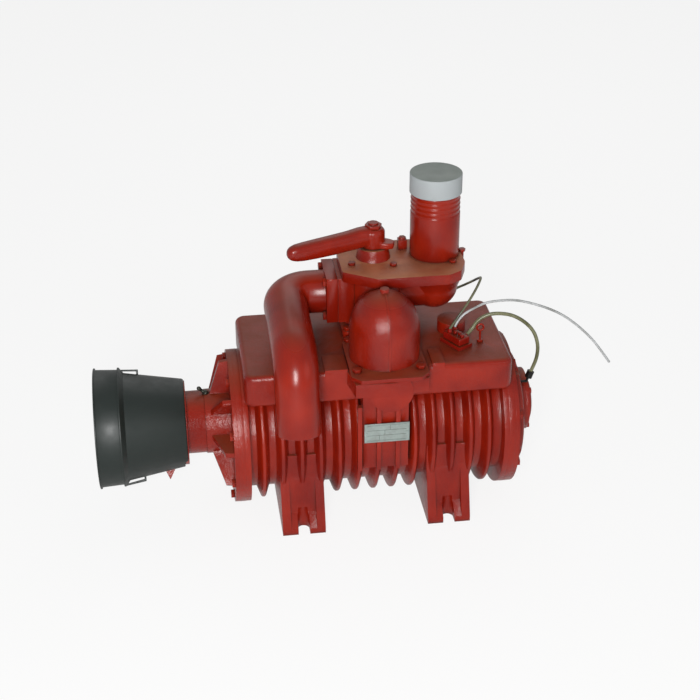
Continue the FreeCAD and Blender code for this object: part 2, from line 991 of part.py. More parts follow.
def cover_holes(name, face, way):
    """Clearance holes for the ring of cover bolts, through the cover's flange."""
    hole_r = S.bolt_r + S.bolt_clear
    places = around_x(S.cover_bolt_count, S.cover_bolt_pcr, barrel_z, S.cover_bolt_angle)
    return [cylinder(name, hole_r, S.cover_flange, (face, y, z), way) for y, z in places]


def small_holes(name, face, way, depth):
    hole_r = S.small_bolt_r + S.bolt_clear
    places = around_x(4, S.small_bolt_pcr, shaft_z, 45)
    return [cylinder(name, hole_r, depth, (face, y, z), way) for y, z in places]


def front_cover():
    """Drive-side cover: a disc with a bearing hub braced by eight webs."""
    flange_face = front_cover_face - S.cover_flange
    disc = ring_along_x("front_disc", 0, S.flange_r, flange_face, front_cover_face, barrel_z)
    hub = ring_along_x("front_hub", 0, S.hub_r, -S.hub_end, front_cover_face, shaft_z)
    depth = S.web_hub_x + flange_face
    at = (-S.web_hub_x, 0, shaft_z)
    plates = crossed_plates("web", 4, S.web_cone_r, S.web_plate, depth + S.gap, at)
    slope = [
        (flange_face + S.gap, 0),
        (flange_face + S.gap, S.web_cone_r),
        (-S.web_cone_x, S.web_cone_r - 2),
        (-S.web_hub_x, S.hub_r),
        (-S.web_hub_x, 0),
    ]
    envelope = spin("web_envelope", slope, (0, 0, shaft_z))
    webs = common("webs", [fused("web_star", plates), envelope])
    casting = fused("front_casting", [disc, hub, webs])
    seat_r = S.bearing_r + S.fit
    seat_length = S.hub_end - S.front_bearing_x
    tools = [
        cylinder("front_seat", seat_r, seat_length, (-S.hub_end, 0, shaft_z), "+X"),
        cylinder("front_shaft_hole", S.shaft_r + S.shaft_clear, S.hub_end, (-S.hub_end, 0, shaft_z), "+X"),
        cylinder("nipple_hole", S.nipple_r, S.hub_r, (-S.nipple_x, 0, shaft_z + S.bearing_r / 2)),
    ]
    tools += cover_holes("front_cover_hole", front_cover_face, "-X")
    tools += small_holes("front_hub_hole", -S.hub_end, "+X", S.small_bolt_grip + S.gap)
    keep(cut("front_cover", casting, tools), "front_cover")


def rear_cover():
    """Rear cover: a disc, a thick body scalloped for the bolt heads, and a bearing boss."""
    flange_face = rear_cover_face + S.cover_flange
    disc = ring_along_x("rear_disc", 0, S.flange_r, rear_cover_face, flange_face, barrel_z)
    body = [
        (flange_face - S.gap, 0),
        (flange_face - S.gap, S.rear_body_r),
        (S.rear_body_end - S.scallop_r / 2, S.rear_body_r),
        (S.rear_body_end, S.rear_body_r - S.scallop_r / 2),
        (S.rear_body_end, 0),
    ]
    thick = spin("rear_body", body, (0, 0, barrel_z), {2: (S.scallop_r / 2, 1)})
    scallops = []
    for y, z in around_x(S.cover_bolt_count, S.scallop_pcr, barrel_z, S.cover_bolt_angle):
        at = (flange_face, y, z)
        scallops.append(cylinder("scallop", S.scallop_r, S.rear_body_end - flange_face, at, "+X"))
    shaped = cut("rear_body_shaped", thick, scallops)
    boss = ring_along_x("rear_boss", 0, S.rear_boss_r, flange_face, S.rear_boss_end, shaft_z)
    casting = fused("rear_casting", [disc, shaped, boss])
    seat_length = S.rear_boss_end - S.rear_bearing_x
    hole_r = S.shaft_r + S.shaft_clear
    tools = [
        cylinder("rear_seat", S.bearing_r + S.fit, seat_length, (S.rear_bearing_x, 0, shaft_z), "+X"),
        cylinder("rear_shaft_hole", hole_r, S.barrel_rear, (rear_cover_face, 0, shaft_z), "+X"),
    ]
    tools += cover_holes("rear_cover_hole", rear_cover_face, "+X")
    tools += small_holes("rear_boss_hole", S.rear_boss_end, "-X", S.small_bolt_grip + S.gap)
    keep(cut("rear_cover", casting, tools), "rear_cover")


def cover_gaskets():
    rings = []
    for name, low in (("front_gasket", front_cover_face), ("rear_gasket", rear_face)):
        ring = ring_along_x(name, S.bore_r, S.flange_r - S.gasket, low, low + S.gasket, barrel_z)
        hole_r = S.bolt_r + S.bolt_clear
        places = around_x(S.cover_bolt_count, S.cover_bolt_pcr, barrel_z, S.cover_bolt_angle)
        holes = [cylinder(name + "_hole", hole_r, S.gasket, (low, y, z), "+X") for y, z in places]
        rings.append(cut(name + "_ring", ring, holes))
    keep(together("cover_gaskets", rings), "cover_gaskets")


def cover_bolts():
    length = S.cover_flange + S.gasket + S.bolt_grip - 1
    bolts = []
    for y, z in around_x(S.cover_bolt_count, S.cover_bolt_pcr, barrel_z, S.cover_bolt_angle):
        bolts.append(bolt("front_bolt", (front_cover_face - S.cover_flange, y, z), "-X", length))
        bolts.append(bolt("rear_bolt", (rear_cover_face + S.cover_flange, y, z), "+X", length))
    keep(together("cover_bolts", bolts), "cover_bolts")


def bearing(end, low):
    """Roller bearing: two rings, a pocketed cage and its rollers."""
    high = low + S.bearing_width
    lip = S.roller_lip
    outer = [
        (low, S.seal_r),
        (low + lip, S.seal_r),
        (low + lip, S.raceway_r),
        (high - lip, S.raceway_r),
        (high - lip, S.seal_r),
        (high, S.seal_r),
        (high, S.bearing_r),
        (low, S.bearing_r),
    ]
    keep(spin(end + "_outer_ring", outer, (0, 0, shaft_z)), end + "_bearing_outer_ring")
    bore = S.bearing_inner_r + S.fit
    inner = ring_along_x(end + "_inner_ring", bore, S.inner_race_r, low, high, shaft_z)
    keep(inner, end + "_bearing_inner_ring")
    margin = (S.bearing_width - S.cage_width) / 2
    cage = ring_along_x(
        end + "_cage_ring", S.cage_inner_r, S.cage_outer_r, low + margin, high - margin, shaft_z
    )
    pitch_r = (S.raceway_r + S.inner_race_r) / 2
    roller_x = low + (S.bearing_width - S.roller_length) / 2
    rollers, pockets = [], []
    for y, z in around_x(S.roller_count, pitch_r, shaft_z):
        rollers.append(cylinder(end + "_roller", S.roller_r, S.roller_length, (roller_x, y, z), "+X"))
        pocket_x = roller_x - S.gap
        long = S.roller_length + 2 * S.gap
        pockets.append(cylinder(end + "_pocket", S.roller_r + S.gap, long, (pocket_x, y, z), "+X"))
    keep(cut(end + "_cage", cage, pockets), end + "_bearing_cage")
    keep(together(end + "_rollers", rollers), end + "_bearing_rollers")


def drive_shaft():
    shoulder = (-S.front_bearing_x, S.rear_bearing_x)
    end = S.rear_bearing_x + S.bearing_width
    profile = [
        (-S.spline_start, 0),
        (-S.spline_start, S.bearing_inner_r),
        (shoulder[0], S.bearing_inner_r),
        (shoulder[0], S.shaft_r),
        (shoulder[1], S.shaft_r),
        (shoulder[1], S.bearing_inner_r),
        (end, S.bearing_inner_r),
        (end, 0),
    ]
    shaft = spin("shaft_body", profile, (0, 0, shaft_z))
    groove = S.shaft_end - S.lock_groove_at
    chamfer = S.spline_r - S.spline_root_r
    root_part = cylinder(
        "spline_root", S.spline_root_r, S.shaft_end - S.spline_start, (-S.shaft_end, 0, shaft_z), "+X"
    )
    envelope = [
        (-S.shaft_end, 0),
        (-S.shaft_end, S.spline_root_r),
        (-S.shaft_end + chamfer, S.spline_r),
        (-groove - S.lock_groove / 2, S.spline_r),
        (-groove - S.lock_groove / 2, S.spline_root_r),
        (-groove + S.lock_groove / 2, S.spline_root_r),
        (-groove + S.lock_groove / 2, S.spline_r),
        (-S.spline_start, S.spline_r),
        (-S.spline_start, 0),
    ]
    limits = spin("spline_envelope", envelope, (0, 0, shaft_z))
    length = S.shaft_end - S.spline_start
    keys = crossed_plates("key", 3, S.shaft_r, S.spline_key, length, (-S.shaft_end, 0, shaft_z))
    teeth = common("spline_teeth", [fused("key_star", keys), limits])
    keep(fused("drive_shaft", [shaft, root_part, teeth]), "drive_shaft")


def rotor():
    """Slotted rotor on the shaft, with its vanes drawn back into their slots."""
    low = front_cover_face + S.gap
    length = rear_cover_face - S.gap - low
    core = ring_along_x(
        "rotor_blank", S.shaft_r + S.fit, rotor_r, low, rear_cover_face - S.gap, shaft_z
    )
    tools = []
    for number in range(int(S.vane_count.value)):
        turn = FreeCAD.Rotation(Vector(1, 0, 0), 360.0 * number / S.vane_count.value)
        slot = new_body(f"vane_slot_{number + 1}", (low - S.gap, 0, shaft_z), turn)
        half = S.vane / 2 + S.vane_gap
        floor = rotor_r - S.vane_depth
        top = rotor_r + S.vane_depth / 4
        outline = [(-half, floor), (half, floor), (half, top), (-half, top)]
        padded(slot, sketch(slot, "YZ_Plane", outline), length + 2 * S.gap)
        tools.append(slot)
        vane = new_body(f"vane_body_{number + 1}", (low, 0, shaft_z), turn)
        side = S.vane / 2
        tip = rotor_r - S.vane_reach
        outline = [(-side, tip - S.vane_height), (side, tip - S.vane_height), (side, tip), (-side, tip)]
        padded(vane, sketch(vane, "YZ_Plane", outline), length)
        keep(vane, f"vane_{number + 1}")
    keep(cut("rotor_core", core, tools), "rotor_core")


def bearing_cap():
    seat = S.rear_boss_end
    low = seat - S.end_cap_nose
    inside = S.bearing_r - S.end_cap_wall * 2
    flat = S.end_cap_dome_r - S.end_cap_wall - 1
    profile = [
        (low, inside),
        (low, S.end_cap_nose_r),
        (seat, S.end_cap_nose_r),
        (seat, S.end_cap_r),
        (seat + S.end_cap_flange, S.end_cap_r),
        (seat + S.end_cap_flange, S.end_cap_dome_r),
        (S.end_cap_end, flat),
        (S.end_cap_end, 0),
        (S.end_cap_end - S.end_cap_wall, 0),
        (S.end_cap_end - S.end_cap_wall, inside),
    ]
    blank = spin("cap_blank", profile, (0, 0, shaft_z), {5: (S.end_cap_wall + 1, 1)})
    holes = small_holes("cap_hole", seat, "+X", S.end_cap_flange)
    keep(cut("rear_bearing_cap", blank, holes), "rear_bearing_cap")


def small_bolts(label, face, way, length):
    bolts = []
    for y, z in around_x(4, S.small_bolt_pcr, shaft_z, 45):
        bolts.append(bolt(label + "_bolt", (face, y, z), way, length, "small_bolt"))
    keep(together(label, bolts), label)


def shaft_seal():
    inner = S.bearing_inner_r + S.gap
    low = -S.bracket_end + S.seal_seat
    keep(ring_along_x("seal", inner, S.seal_r, low, low + S.seal_width, shaft_z), "shaft_seal")


def guard_bracket():
    """Red ring between the hub and the guard, with the seal seat and the locking tab."""
    face = -S.bracket_end
    seat = face + S.seal_seat
    nose = -S.hub_end + S.bracket_nose
    profile = [
        (face, S.bracket_bore_r),
        (seat, S.bracket_bore_r),
        (seat, S.seal_r + S.fit),
        (nose, S.seal_r + S.fit),
        (nose, S.bracket_nose_r),
        (-S.hub_end, S.bracket_nose_r),
        (-S.hub_end, S.bracket_r),
        (face + S.bracket_disc, S.bracket_r),
        (face + S.bracket_disc, S.bracket_disc_r),
        (face, S.bracket_disc_r),
    ]
    ring = spin("bracket_ring", profile, (0, 0, shaft_z))
    tab = tab_plate("tab", S.tab_thick, 0)
    tools = small_holes("bracket_hole", face, "+X", S.bracket_end - S.hub_end)
    hole_r = S.guard_screw_r + S.bolt_clear
    for y, z in guard_screw_places():
        tools.append(cylinder("guard_screw_hole", hole_r, S.bracket_disc, (face, y, z), "+X"))
    keep(cut("guard_bracket", fused("bracket_blank", [ring, tab]), tools), "guard_bracket")


def tab_plate(name, thick, margin):
    """The locking tab's plate, or with a margin the slot that it passes through."""
    turn = FreeCAD.Rotation(Vector(1, 0, 0), S.tab_angle.value)
    plate = new_body(name, (0, 0, shaft_z), turn)
    back = -S.bracket_end + S.bracket_disc / 2
    outline = [
        (back, S.tab_foot_r - margin),
        (back, S.bracket_disc_r - 1 + margin),
        (-S.tab_back + margin, S.tab_side_r + margin),
        (-S.tab_tip_x, S.tab_reach + margin),
        (-S.tab_front - margin, S.tab_side_r + margin),
        (-S.tab_front - margin, S.tab_foot_r - margin),
    ]
    padded(plate, sketch(plate, "XZ_Plane", outline, lift=-thick / 2), thick)
    return plate


def guard_screw_places():
    return around_x(4, S.guard_screw_pcr, shaft_z, 0)


def pto_guard():
    """Bell-shaped plastic guard round the splined shaft end, open at its mouth."""
    back = -S.bracket_end
    wall = S.guard_wall
    lip = S.guard_band
    corner = S.guard_corner
    profile = [
        (back, S.guard_hole_r),
        (back, S.guard_corner_r),
        (back - corner, S.guard_corner_r + corner),
        (-S.guard_cone_x, S.guard_cone_r),
        (-S.guard_step_x, S.guard_step_r),
        (-S.guard_step_x - lip, S.guard_step_r),
        (-S.guard_step_x - lip, S.guard_band_r),
        (-S.guard_mouth_x + lip, S.guard_rim_r),
        (-S.guard_mouth_x + lip, S.guard_mouth_r),
        (-S.guard_mouth_x, S.guard_mouth_r),
        (-S.guard_mouth_x, S.guard_rim_r - wall),
        (-S.guard_step_x - lip / 2, S.guard_band_r - wall),
        (-S.guard_cone_x - lip / 2, S.guard_cone_r - wall),
        (back - corner, S.guard_corner_r + corner - wall),
        (back - wall, S.guard_corner_r),
        (back - wall, S.guard_hole_r),
    ]
    rounds = {1: (corner, -1), 13: (corner - wall, 1)}
    shell = spin("guard_shell", profile, (0, 0, shaft_z), rounds)
    inside = [
        (back, 0),
        (back, S.guard_corner_r),
        (back - corner, S.guard_corner_r + corner - wall),
        (-S.guard_cone_x - lip / 2, S.guard_cone_r - wall),
        (-S.guard_step_x - lip / 2, S.guard_band_r - wall),
        (-S.guard_mouth_x, S.guard_rim_r - wall),
        (-S.guard_mouth_x, 0),
    ]
    cavity = spin("guard_cavity", inside, (0, 0, shaft_z))
    pieces = [shell]
    loops = (
        ("top_clip", 1, S.clip_top_x, S.clip_top_length, S.clip_top_r),
        ("low_clip", -1, S.clip_low_x, S.clip_low_length, S.clip_low_r),
    )
    for name, side, x, length, reach in loops:
        turn = FreeCAD.Rotation(Vector(1, 0, 0), 0 if side > 0 else 180)
        loop = new_body(name, (0, 0, shaft_z), turn)
        foot = S.guard_cone_r - 3 * wall
        outline = [(-x, foot), (-x + length, foot), (-x + length, reach), (-x, reach)]
        padded(loop, sketch(loop, "XZ_Plane", outline, lift=-S.clip_width / 2), S.clip_width)
        slot = new_body(name + "_slot", (0, 0, shaft_z), turn)
        bar = S.clip_bar
        low = reach - bar - S.clip_slot
        near, far, high = -x + bar, -x + length - bar, reach - bar
        gap = [(near, low), (far, low), (far, high), (near, high)]
        wide = S.clip_width + 2
        padded(slot, sketch(slot, "XZ_Plane", gap, lift=-wide / 2), wide)
        pieces.append(cut(name + "_loop", loop, [slot, cavity]))
    guard = fused("guard_blank", pieces)
    tools = [tab_plate("tab_slot", S.tab_thick + 2, 1)]
    hole_r = S.guard_screw_r + S.bolt_clear
    for y, z in guard_screw_places():
        tools.append(cylinder("guard_hole", hole_r, 2 * wall, (back, y, z), "-X"))
    keep(cut("pto_guard", guard, tools), "pto_guard")


def guard_screws():
    screws = []
    face = -S.bracket_end - S.guard_wall
    for y, z in guard_screw_places():
        head = cylinder("screw_head", S.guard_screw_head_r, S.guard_screw_head, (face, y, z), "-X")
        length = S.guard_wall + S.bracket_disc - 1
        shank = cylinder("screw_shank", S.guard_screw_r, length, (face, y, z), "+X")
        screws.append(fused("guard_screw", [head, shank]))
    keep(together("guard_screws", screws), "guard_screws")


def grease_nipple():
    foot = shaft_z + S.bearing_r + S.fit
    at = (-S.nipple_x, 0, foot)
    stem = cylinder("nipple_stem", S.nipple_r - S.fit, S.nipple_height, at)
    seat = shaft_z + S.hub_r
    nut = hexagon("nipple_nut", S.nipple_r * 2.5, S.nipple_r, (-S.nipple_x, 0, seat))
    neck = cylinder("nipple_neck", S.nipple_r / 2 + 0.5, 2 * S.nipple_r, (-S.nipple_x, 0, seat))
    tip = ball("nipple_tip", S.nipple_r * 0.8, (-S.nipple_x, 0, seat + 2 * S.nipple_r))
    keep(fused("grease_nipple", [stem, nut, neck, tip]), "grease_nipple")


def valve_frame(name, z=0, turn=None):
    return new_body(name, (S.valve_x, S.valve_y, z), turn)


def valve_body():
    """Four-way valve casting: a chamber with four ports and the bowl below the hose spigot."""
    base = valve_frame("valve_base", valve_base_z)
    half, deep = S.valve_base_half, S.valve_base_depth
    corners = [(-half, -deep), (half, -deep), (half, deep), (-half, deep)]
    pad = padded(base, sketch(base, "XY_Plane", corners), S.valve_base)
    rounded(base, pad, S.tank_round, is_upright)
    top = S.plate_bottom
    centre = (S.valve_x, S.valve_y)
    bowl_at = (S.spigot_x, S.valve_y)
    chamber = cylinder("chamber_wall", S.chamber_r, top - valve_base_z, (*centre, valve_base_z))
    bowl = ball("bowl_ball", S.bowl_r, (*bowl_at, S.bowl_centre_z), 0)
    rise = top - S.bowl_rim - S.bowl_centre_z
    bowl_wall = cone("bowl_wall", S.bowl_r, S.bowl_rim_r, rise, (*bowl_at, S.bowl_centre_z))
    rim = cylinder("bowl_rim", S.bowl_rim_r, S.bowl_rim, (*bowl_at, top - S.bowl_rim))
    way = S.spigot_x - S.valve_x
    link_size = (way, 2 * S.link_half, top - S.port_z)
    link = box("link_wall", (S.valve_x, S.valve_y - S.link_half, S.port_z), link_size)
    link_pipe = cylinder("link_pipe", S.link_half, way, (S.valve_x, S.valve_y, S.port_z), "+X")
    apron = new_body("apron")
    outline = [
        (S.apron_left, top),
        (S.apron_left, S.apron_low),
        (S.apron_right, S.apron_right_low),
        (S.apron_right, top),
    ]
    depth = S.apron_y + S.valve_y
    apron_pad = padded(apron, sketch(apron, "XZ_Plane", outline, lift=-S.valve_y), depth)
    front = -S.apron_y.value
    rounded(
        apron, apron_pad, S.apron_round, lambda e: is_flat_at(e, "y", front) and e.BoundBox.ZMax < top.value - 1
    )
    port = box(
        "port_flange",
        (-S.port_face, S.valve_y - S.port_half, S.port_z - S.port_half),
        (S.port_pad, 2 * S.port_half, 2 * S.port_half),
    )
    stub = cylinder(
        "port_stub", S.port_r + S.bowl_wall, S.port_face + S.valve_x, (-S.port_face, S.valve_y, S.port_z), "+X"
    )
    neck_z = crossover_z
    neck_length = S.valve_y + S.crossover_y
    neck_r = S.crossover_r + S.crossover_wall
    neck = cylinder("front_neck", neck_r, neck_length, (S.valve_x, -S.crossover_y, neck_z), "+Y")
    casting = fused(
        "valve_casting", [base, chamber, bowl, bowl_wall, rim, link, link_pipe, apron, port, stub, neck]
    )
    floor = valve_base_z + S.chamber_floor
    bore = S.bowl_r - S.bowl_wall
    suction_y = S.valve_y + S.suction_offset
    tools = [
        cylinder("valve_chamber", S.chamber_bore_r, top - floor, (*centre, floor)),
        ball("bowl_inside", bore, (*bowl_at, S.bowl_centre_z)),
        cone("bowl_mouth", bore, S.bowl_rim_r - S.bowl_wall, rise, (*bowl_at, S.bowl_centre_z)),
        cylinder("rim_bore", S.bowl_rim_r - S.bowl_wall, S.bowl_rim, (*bowl_at, top - S.bowl_rim)),
        cylinder("link_bore", S.port_r, way, (S.valve_x, S.valve_y, S.port_z), "+X"),
        cylinder("port_bore", S.port_r, S.port_face + S.valve_x, (-S.port_face, S.valve_y, S.port_z), "+X"),
        cylinder("neck_bore", S.crossover_r, neck_length, (S.valve_x, -S.crossover_y, neck_z), "+Y"),
        cylinder("suction_port", S.suction_r, S.chamber_floor, (S.valve_x, suction_y, valve_base_z)),
    ]
    hole_r = S.bolt_r + S.bolt_clear
    for x, y in valve_bolt_places():
        tools.append(cylinder("valve_base_hole", hole_r, S.valve_base, (x, y, valve_base_z)))
    for y, z in elbow_bolt_places():
        tools.append(cylinder("port_hole", hole_r, S.bolt_grip, (-S.port_face, y, z), "+X"))
    hole_r = S.small_bolt_r + S.bolt_clear
    for x, y in top_bolt_places():
        tools.append(cylinder("plate_thread", hole_r, S.small_bolt_grip, (x, y, top), "-Z"))
    keep(cut("valve_body", casting, tools), "valve_body")


def is_flat_at(edge, axis, value):
    """An edge that lies wholly in the plane where axis has the value."""
    low = getattr(edge.BoundBox, axis.upper() + "Min")
    high = getattr(edge.BoundBox, axis.upper() + "Max")
    return abs(low - value) < 1e-6 and abs(high - value) < 1e-6


def elbow_bolt_places():
    reach = S.port_bolt
    return [(S.valve_y + i * reach, S.port_z + j * reach) for i in (-1, 1) for j in (-1, 1)]


def top_bolt_places():
    places = []
    for angle in (125, 215, 305):
        places.append((S.valve_x + S.top_bolt_pcr * cos(angle), S.valve_y + S.top_bolt_pcr * sin(angle)))
    ring = S.bowl_rim_r - S.bowl_wall / 2
    for angle in (-60, 0, 60):
        places.append((S.spigot_x + ring * cos(angle), S.valve_y + ring * sin(angle)))
    return places


def gasket_sheet(name, low_corner, size, holes):
    sheet_box = box(name + "_sheet", low_corner, size)
    return cut(name, sheet_box, holes)


def valve_gaskets():
    """Flat gaskets under the valve, under the dome and behind the elbow's flange."""
    thick = S.gasket
    hole_r = S.bolt_r + S.bolt_clear
    z = S.tank_top
    half, deep = S.valve_base_half - thick, S.valve_base_depth - thick
    low = (S.valve_x - half, S.valve_y - deep, z)
    holes = [cylinder("gasket_hole", hole_r, thick, (x, y, z)) for x, y in valve_bolt_places()]
    suction_y = S.valve_y + S.suction_offset
    holes.append(cylinder("gasket_port", S.suction_r, thick, (S.valve_x, suction_y, z)))
    valve = gasket_sheet("valve_gasket", low, (2 * half, 2 * deep, thick), holes)
    sheet_body = new_body("dome_gasket_sheet", (S.valve_x, -S.dome_y, z))
    padded(sheet_body, sketch(sheet_body, "XY_Plane", dome_flange_outline()), thick)
    holes = [cylinder("gasket_hole", hole_r, thick, (x, y, z)) for x, y in dome_bolt_places()]
    holes.append(cylinder("gasket_mouth", S.dome_r - S.dome_wall, thick, (S.valve_x, -S.dome_y, z)))
    dome = cut("dome_gasket", sheet_body, holes)
    half = S.port_half - thick
    low = (-S.port_face - thick, S.valve_y - half, S.port_z - half)
    x = -S.port_face - thick
    holes = [cylinder("gasket_hole", hole_r, thick, (x, y, z), "+X") for y, z in elbow_bolt_places()]
    holes.append(cylinder("gasket_bore", S.pipe_r - S.pipe_wall, thick, (x, S.valve_y, S.port_z), "+X"))
    elbow = gasket_sheet("elbow_gasket", low, (thick, 2 * half, 2 * half), holes)
    keep(together("valve_gaskets", [valve, dome, elbow]), "valve_gaskets")


def flange_bolts():
    """The bolts that hold the valve, the dome and the elbow, all of one size."""
    bolts = []
    grip = S.gasket + S.bolt_grip - 1
    for x, y in valve_bolt_places():
        bolts.append(bolt("valve_bolt", (x, y, valve_base_z + S.valve_base), "+Z", S.valve_base + grip))
    for x, y in dome_bolt_places():
        bolts.append(bolt("dome_bolt", (x, y, dome_base + S.dome_flange), "+Z", S.dome_flange + grip))
    for y, z in elbow_bolt_places():
        seat = -S.port_face - S.gasket - S.elbow_flange
        bolts.append(bolt("elbow_bolt", (seat, y, z), "-X", S.elbow_flange + grip))
    keep(together("flange_bolts", bolts), "flange_bolts")


def plate_outline():
    """Plan of the top plate, about the valve axis."""
    return [
        (-S.plate_left_front, -S.plate_front),
        (S.plate_right_front, -S.plate_front),
        (S.plate_corner_x, -S.plate_corner_y),
        (S.plate_right, -S.plate_side_front),
        (S.plate_right, S.plate_side_back),
        (S.plate_back_right, S.plate_back),
        (-S.plate_back_left, S.plate_back),
        (-S.plate_left, S.plate_heel),
        (-S.plate_left, -S.plate_left_end),
    ]


def valve_top_plate():
    body = valve_frame("top_plate", S.plate_bottom)
    pad = padded(body, sketch(body, "XY_Plane", plate_outline()), S.plate)
    rounded(body, pad, S.tank_round, is_upright)
    boss = cone("stem_boss", S.boss_r, S.boss_top_r, S.boss_height, (S.valve_x, S.valve_y, plate_top))
    blank = fused("plate_blank", [body, boss])
    spigot = (S.spigot_x, S.valve_y)
    under = (S.valve_x, S.valve_y, S.plate_bottom)
    tools = [
        cylinder("stem_hole", S.stem_r + S.stem_gap, S.plate + S.boss_height, under),
        cylinder("spigot_hole", S.spigot_r - 2, S.plate, (*spigot, S.plate_bottom)),
        cylinder("spigot_seat", S.spigot_r + S.fit, S.spigot_socket, (*spigot, plate_top - S.spigot_socket)),
    ]
    hole_r = S.small_bolt_r + S.bolt_clear
    for x, y in top_bolt_places():
        tools.append(cylinder("plate_hole", hole_r, S.plate, (x, y, S.plate_bottom)))
    stop = (S.stop_x, S.stop_y, plate_top - S.bolt_grip)
    tools.append(cylinder("stop_hole", hole_r, S.bolt_grip, stop))
    keep(cut("valve_top_plate", blank, tools), "valve_top_plate")


def valve_top_bolts():
    length = S.plate + S.small_bolt_grip - 1
    bolts = [bolt("top_bolt", (x, y, plate_top), "+Z", length, "small_bolt") for x, y in top_bolt_places()]
    keep(together("valve_top_bolts", bolts), "valve_top_bolts")


def hose_spigot():
    """Steel hose spigot with saw-tooth grooves, seated in the plate's socket."""
    low = plate_top - S.spigot_socket
    inner = S.spigot_r - S.spigot_wall
    outline = [(inner, low), (S.spigot_r, low)]
    for number in range(int(S.groove_count.value)):
        z = S.spigot_top - S.groove_drop + number * S.groove_pitch
        outline.append((S.spigot_r, z))
        outline.append((S.spigot_r - S.groove_depth, z + S.groove_depth))
    last = S.spigot_top - S.groove_drop + S.groove_count * S.groove_pitch
    outline += [(S.spigot_r, last), (S.spigot_r, S.spigot_top), (inner, S.spigot_top)]
    keep(spin("spigot", outline, (S.spigot_x, S.valve_y, 0), axis="V_Axis"), "hose_spigot")


def spigot_cap():
    """Push-on plastic cap that closes the spigot."""
    under = S.spigot_top + S.gap
    inner = S.spigot_r + S.gap
    outer = inner + S.cap_wall
    top = under + S.cap_lid
    outline = [
        (inner, top - S.cap_height),
        (outer, top - S.cap_height),
        (outer, top - S.cap_wall),
        (outer - S.cap_wall, top),
        (0, top),
        (0, under),
        (inner, under),
    ]
    cap = spin("cap", outline, (S.spigot_x, S.valve_y, 0), {2: (S.cap_wall, -1)}, "V_Axis")
    keep(cap, "spigot_cap")


def flow_diverter():
    low = valve_base_z + S.chamber_floor + S.diverter_gap
    high = S.plate_bottom - S.diverter_gap
    span = S.chamber_bore_r - S.diverter_gap
    web = valve_frame("diverter_web", low, FreeCAD.Rotation(Vector(0, 0, 1), 45))
    side = S.diverter / 2
    outline = [(-span, -side), (span, -side), (span, side), (-span, side)]
    padded(web, sketch(web, "XY_Plane", outline, {1: (span, -1), 3: (span, -1)}), high - low)
    at = (S.valve_x, S.valve_y)
    hub_top = lever_z + S.lever_hub_height
    stem = cylinder("diverter_stem", S.stem_r, hub_top - S.gap - low, (*at, low))
    thread = cylinder("stem_thread", S.bolt_af * 0.6, S.nut_height + 3, (*at, hub_top - S.gap))
    keep(fused("flow_diverter", [web, stem, thread]), "flow_diverter")


def reversing_lever():
    """Cast lever: a tapered arm and a short stop arm on a round hub."""
    turn = FreeCAD.Rotation(Vector(0, 0, 1), S.lever_angle.value)
    at = (S.valve_x, S.valve_y, lever_z)
    hub = cylinder("lever_hub", S.lever_hub_r, S.lever_hub_height, at)
    plan = new_body("lever_plan", at, turn)
    wide, narrow = S.lever_width / 2, S.lever_tip_width / 2
    end = S.lever_length - narrow
    outline = [(0, -wide), (end, -narrow), (end, narrow), (0, wide)]
    flat = padded(plan, sketch(plan, "XY_Plane", outline, {1: (narrow * S.blunt, -1)}), S.lever_hub_height * 2)
    side = new_body("lever_side", at, turn)
    rise = S.lever_tip_rise
    reach = S.lever_length + S.lever_tip_width
    outline = [
        (0, 0),
        (S.lever_hub_r, 0),
        (reach, rise),
        (reach, rise + S.lever_tip_height),
        (S.lever_hub_r, S.lever_height),
        (0, S.lever_hub_height),
    ]
    padded(side, sketch(side, "XZ_Plane", outline, lift=-S.lever_width), 2 * S.lever_width)
    arm = common("lever_arm", [plan, side])
    doc.recompute()
    soft = doc.addObject("Part::Fillet", "lever_arm_round")
    soft.Base = arm
    radius = S.lever_tip_width.value / 3
    long_edges = [
        (i + 1, radius, radius)
        for i, e in enumerate(arm.Shape.Edges)
        if far_from(e, at, S.lever_hub_r.value * 0.8) and not is_upright(e)
    ]
    soft.Edges = long_edges
    stop_turn = FreeCAD.Rotation(Vector(0, 0, 1), S.stop_arm_angle.value)
    stop = new_body("stop_arm_body", at, stop_turn)
    half = S.stop_arm_width / 2
    tip = S.stop_arm - half
    outline = [(0, -half), (tip, -half), (tip, half), (0, half)]
    padded(stop, sketch(stop, "XY_Plane", outline, {1: (half * S.blunt, -1)}), S.stop_arm_height)
    blank = fused("lever_blank", [hub, soft, stop])
    bore = cylinder("lever_bore", S.stem_r + S.fit, S.lever_hub_height, at)
    keep(cut("reversing_lever", blank, [bore]), "reversing_lever")


def far_from(edge, at, distance):
    """True when no end of the edge is nearer than distance to the upright line through at."""
    x, y = as_size(at[0]).value, as_size(at[1]).value
    return all(math.hypot(v.X - x, v.Y - y) > distance for v in edge.Vertexes)


def lever_nut():
    z = lever_z + S.lever_hub_height
    at = (S.valve_x, S.valve_y, z)
    nut = hexagon("nut_blank", S.nut_af, S.nut_height, at)
    hole = cylinder("nut_hole", S.bolt_af * 0.6 + S.fit, S.nut_height, at)
    keep(cut("lever_nut", nut, [hole]), "lever_nut")


def stop_lug():
    """Upright stop on the plate, held down by its own bolt."""
    half = S.stop_width / 2
    at = (S.stop_x, S.stop_y, plate_top)
    block = box(
        "stop_block", (S.stop_x - half, S.stop_y - half, plate_top), (S.stop_width, S.stop_width, S.stop_height)
    )
    head_at = (S.stop_x, S.stop_y, plate_top + S.stop_height)
    head = hexagon("stop_head", S.small_bolt_af, S.small_bolt_head, head_at)
    shank = cylinder("stop_shank", S.small_bolt_r, S.bolt_grip - 1, at, "-Z")
    keep(fused("stop_lug", [block, head, shank]), "stop_lug")


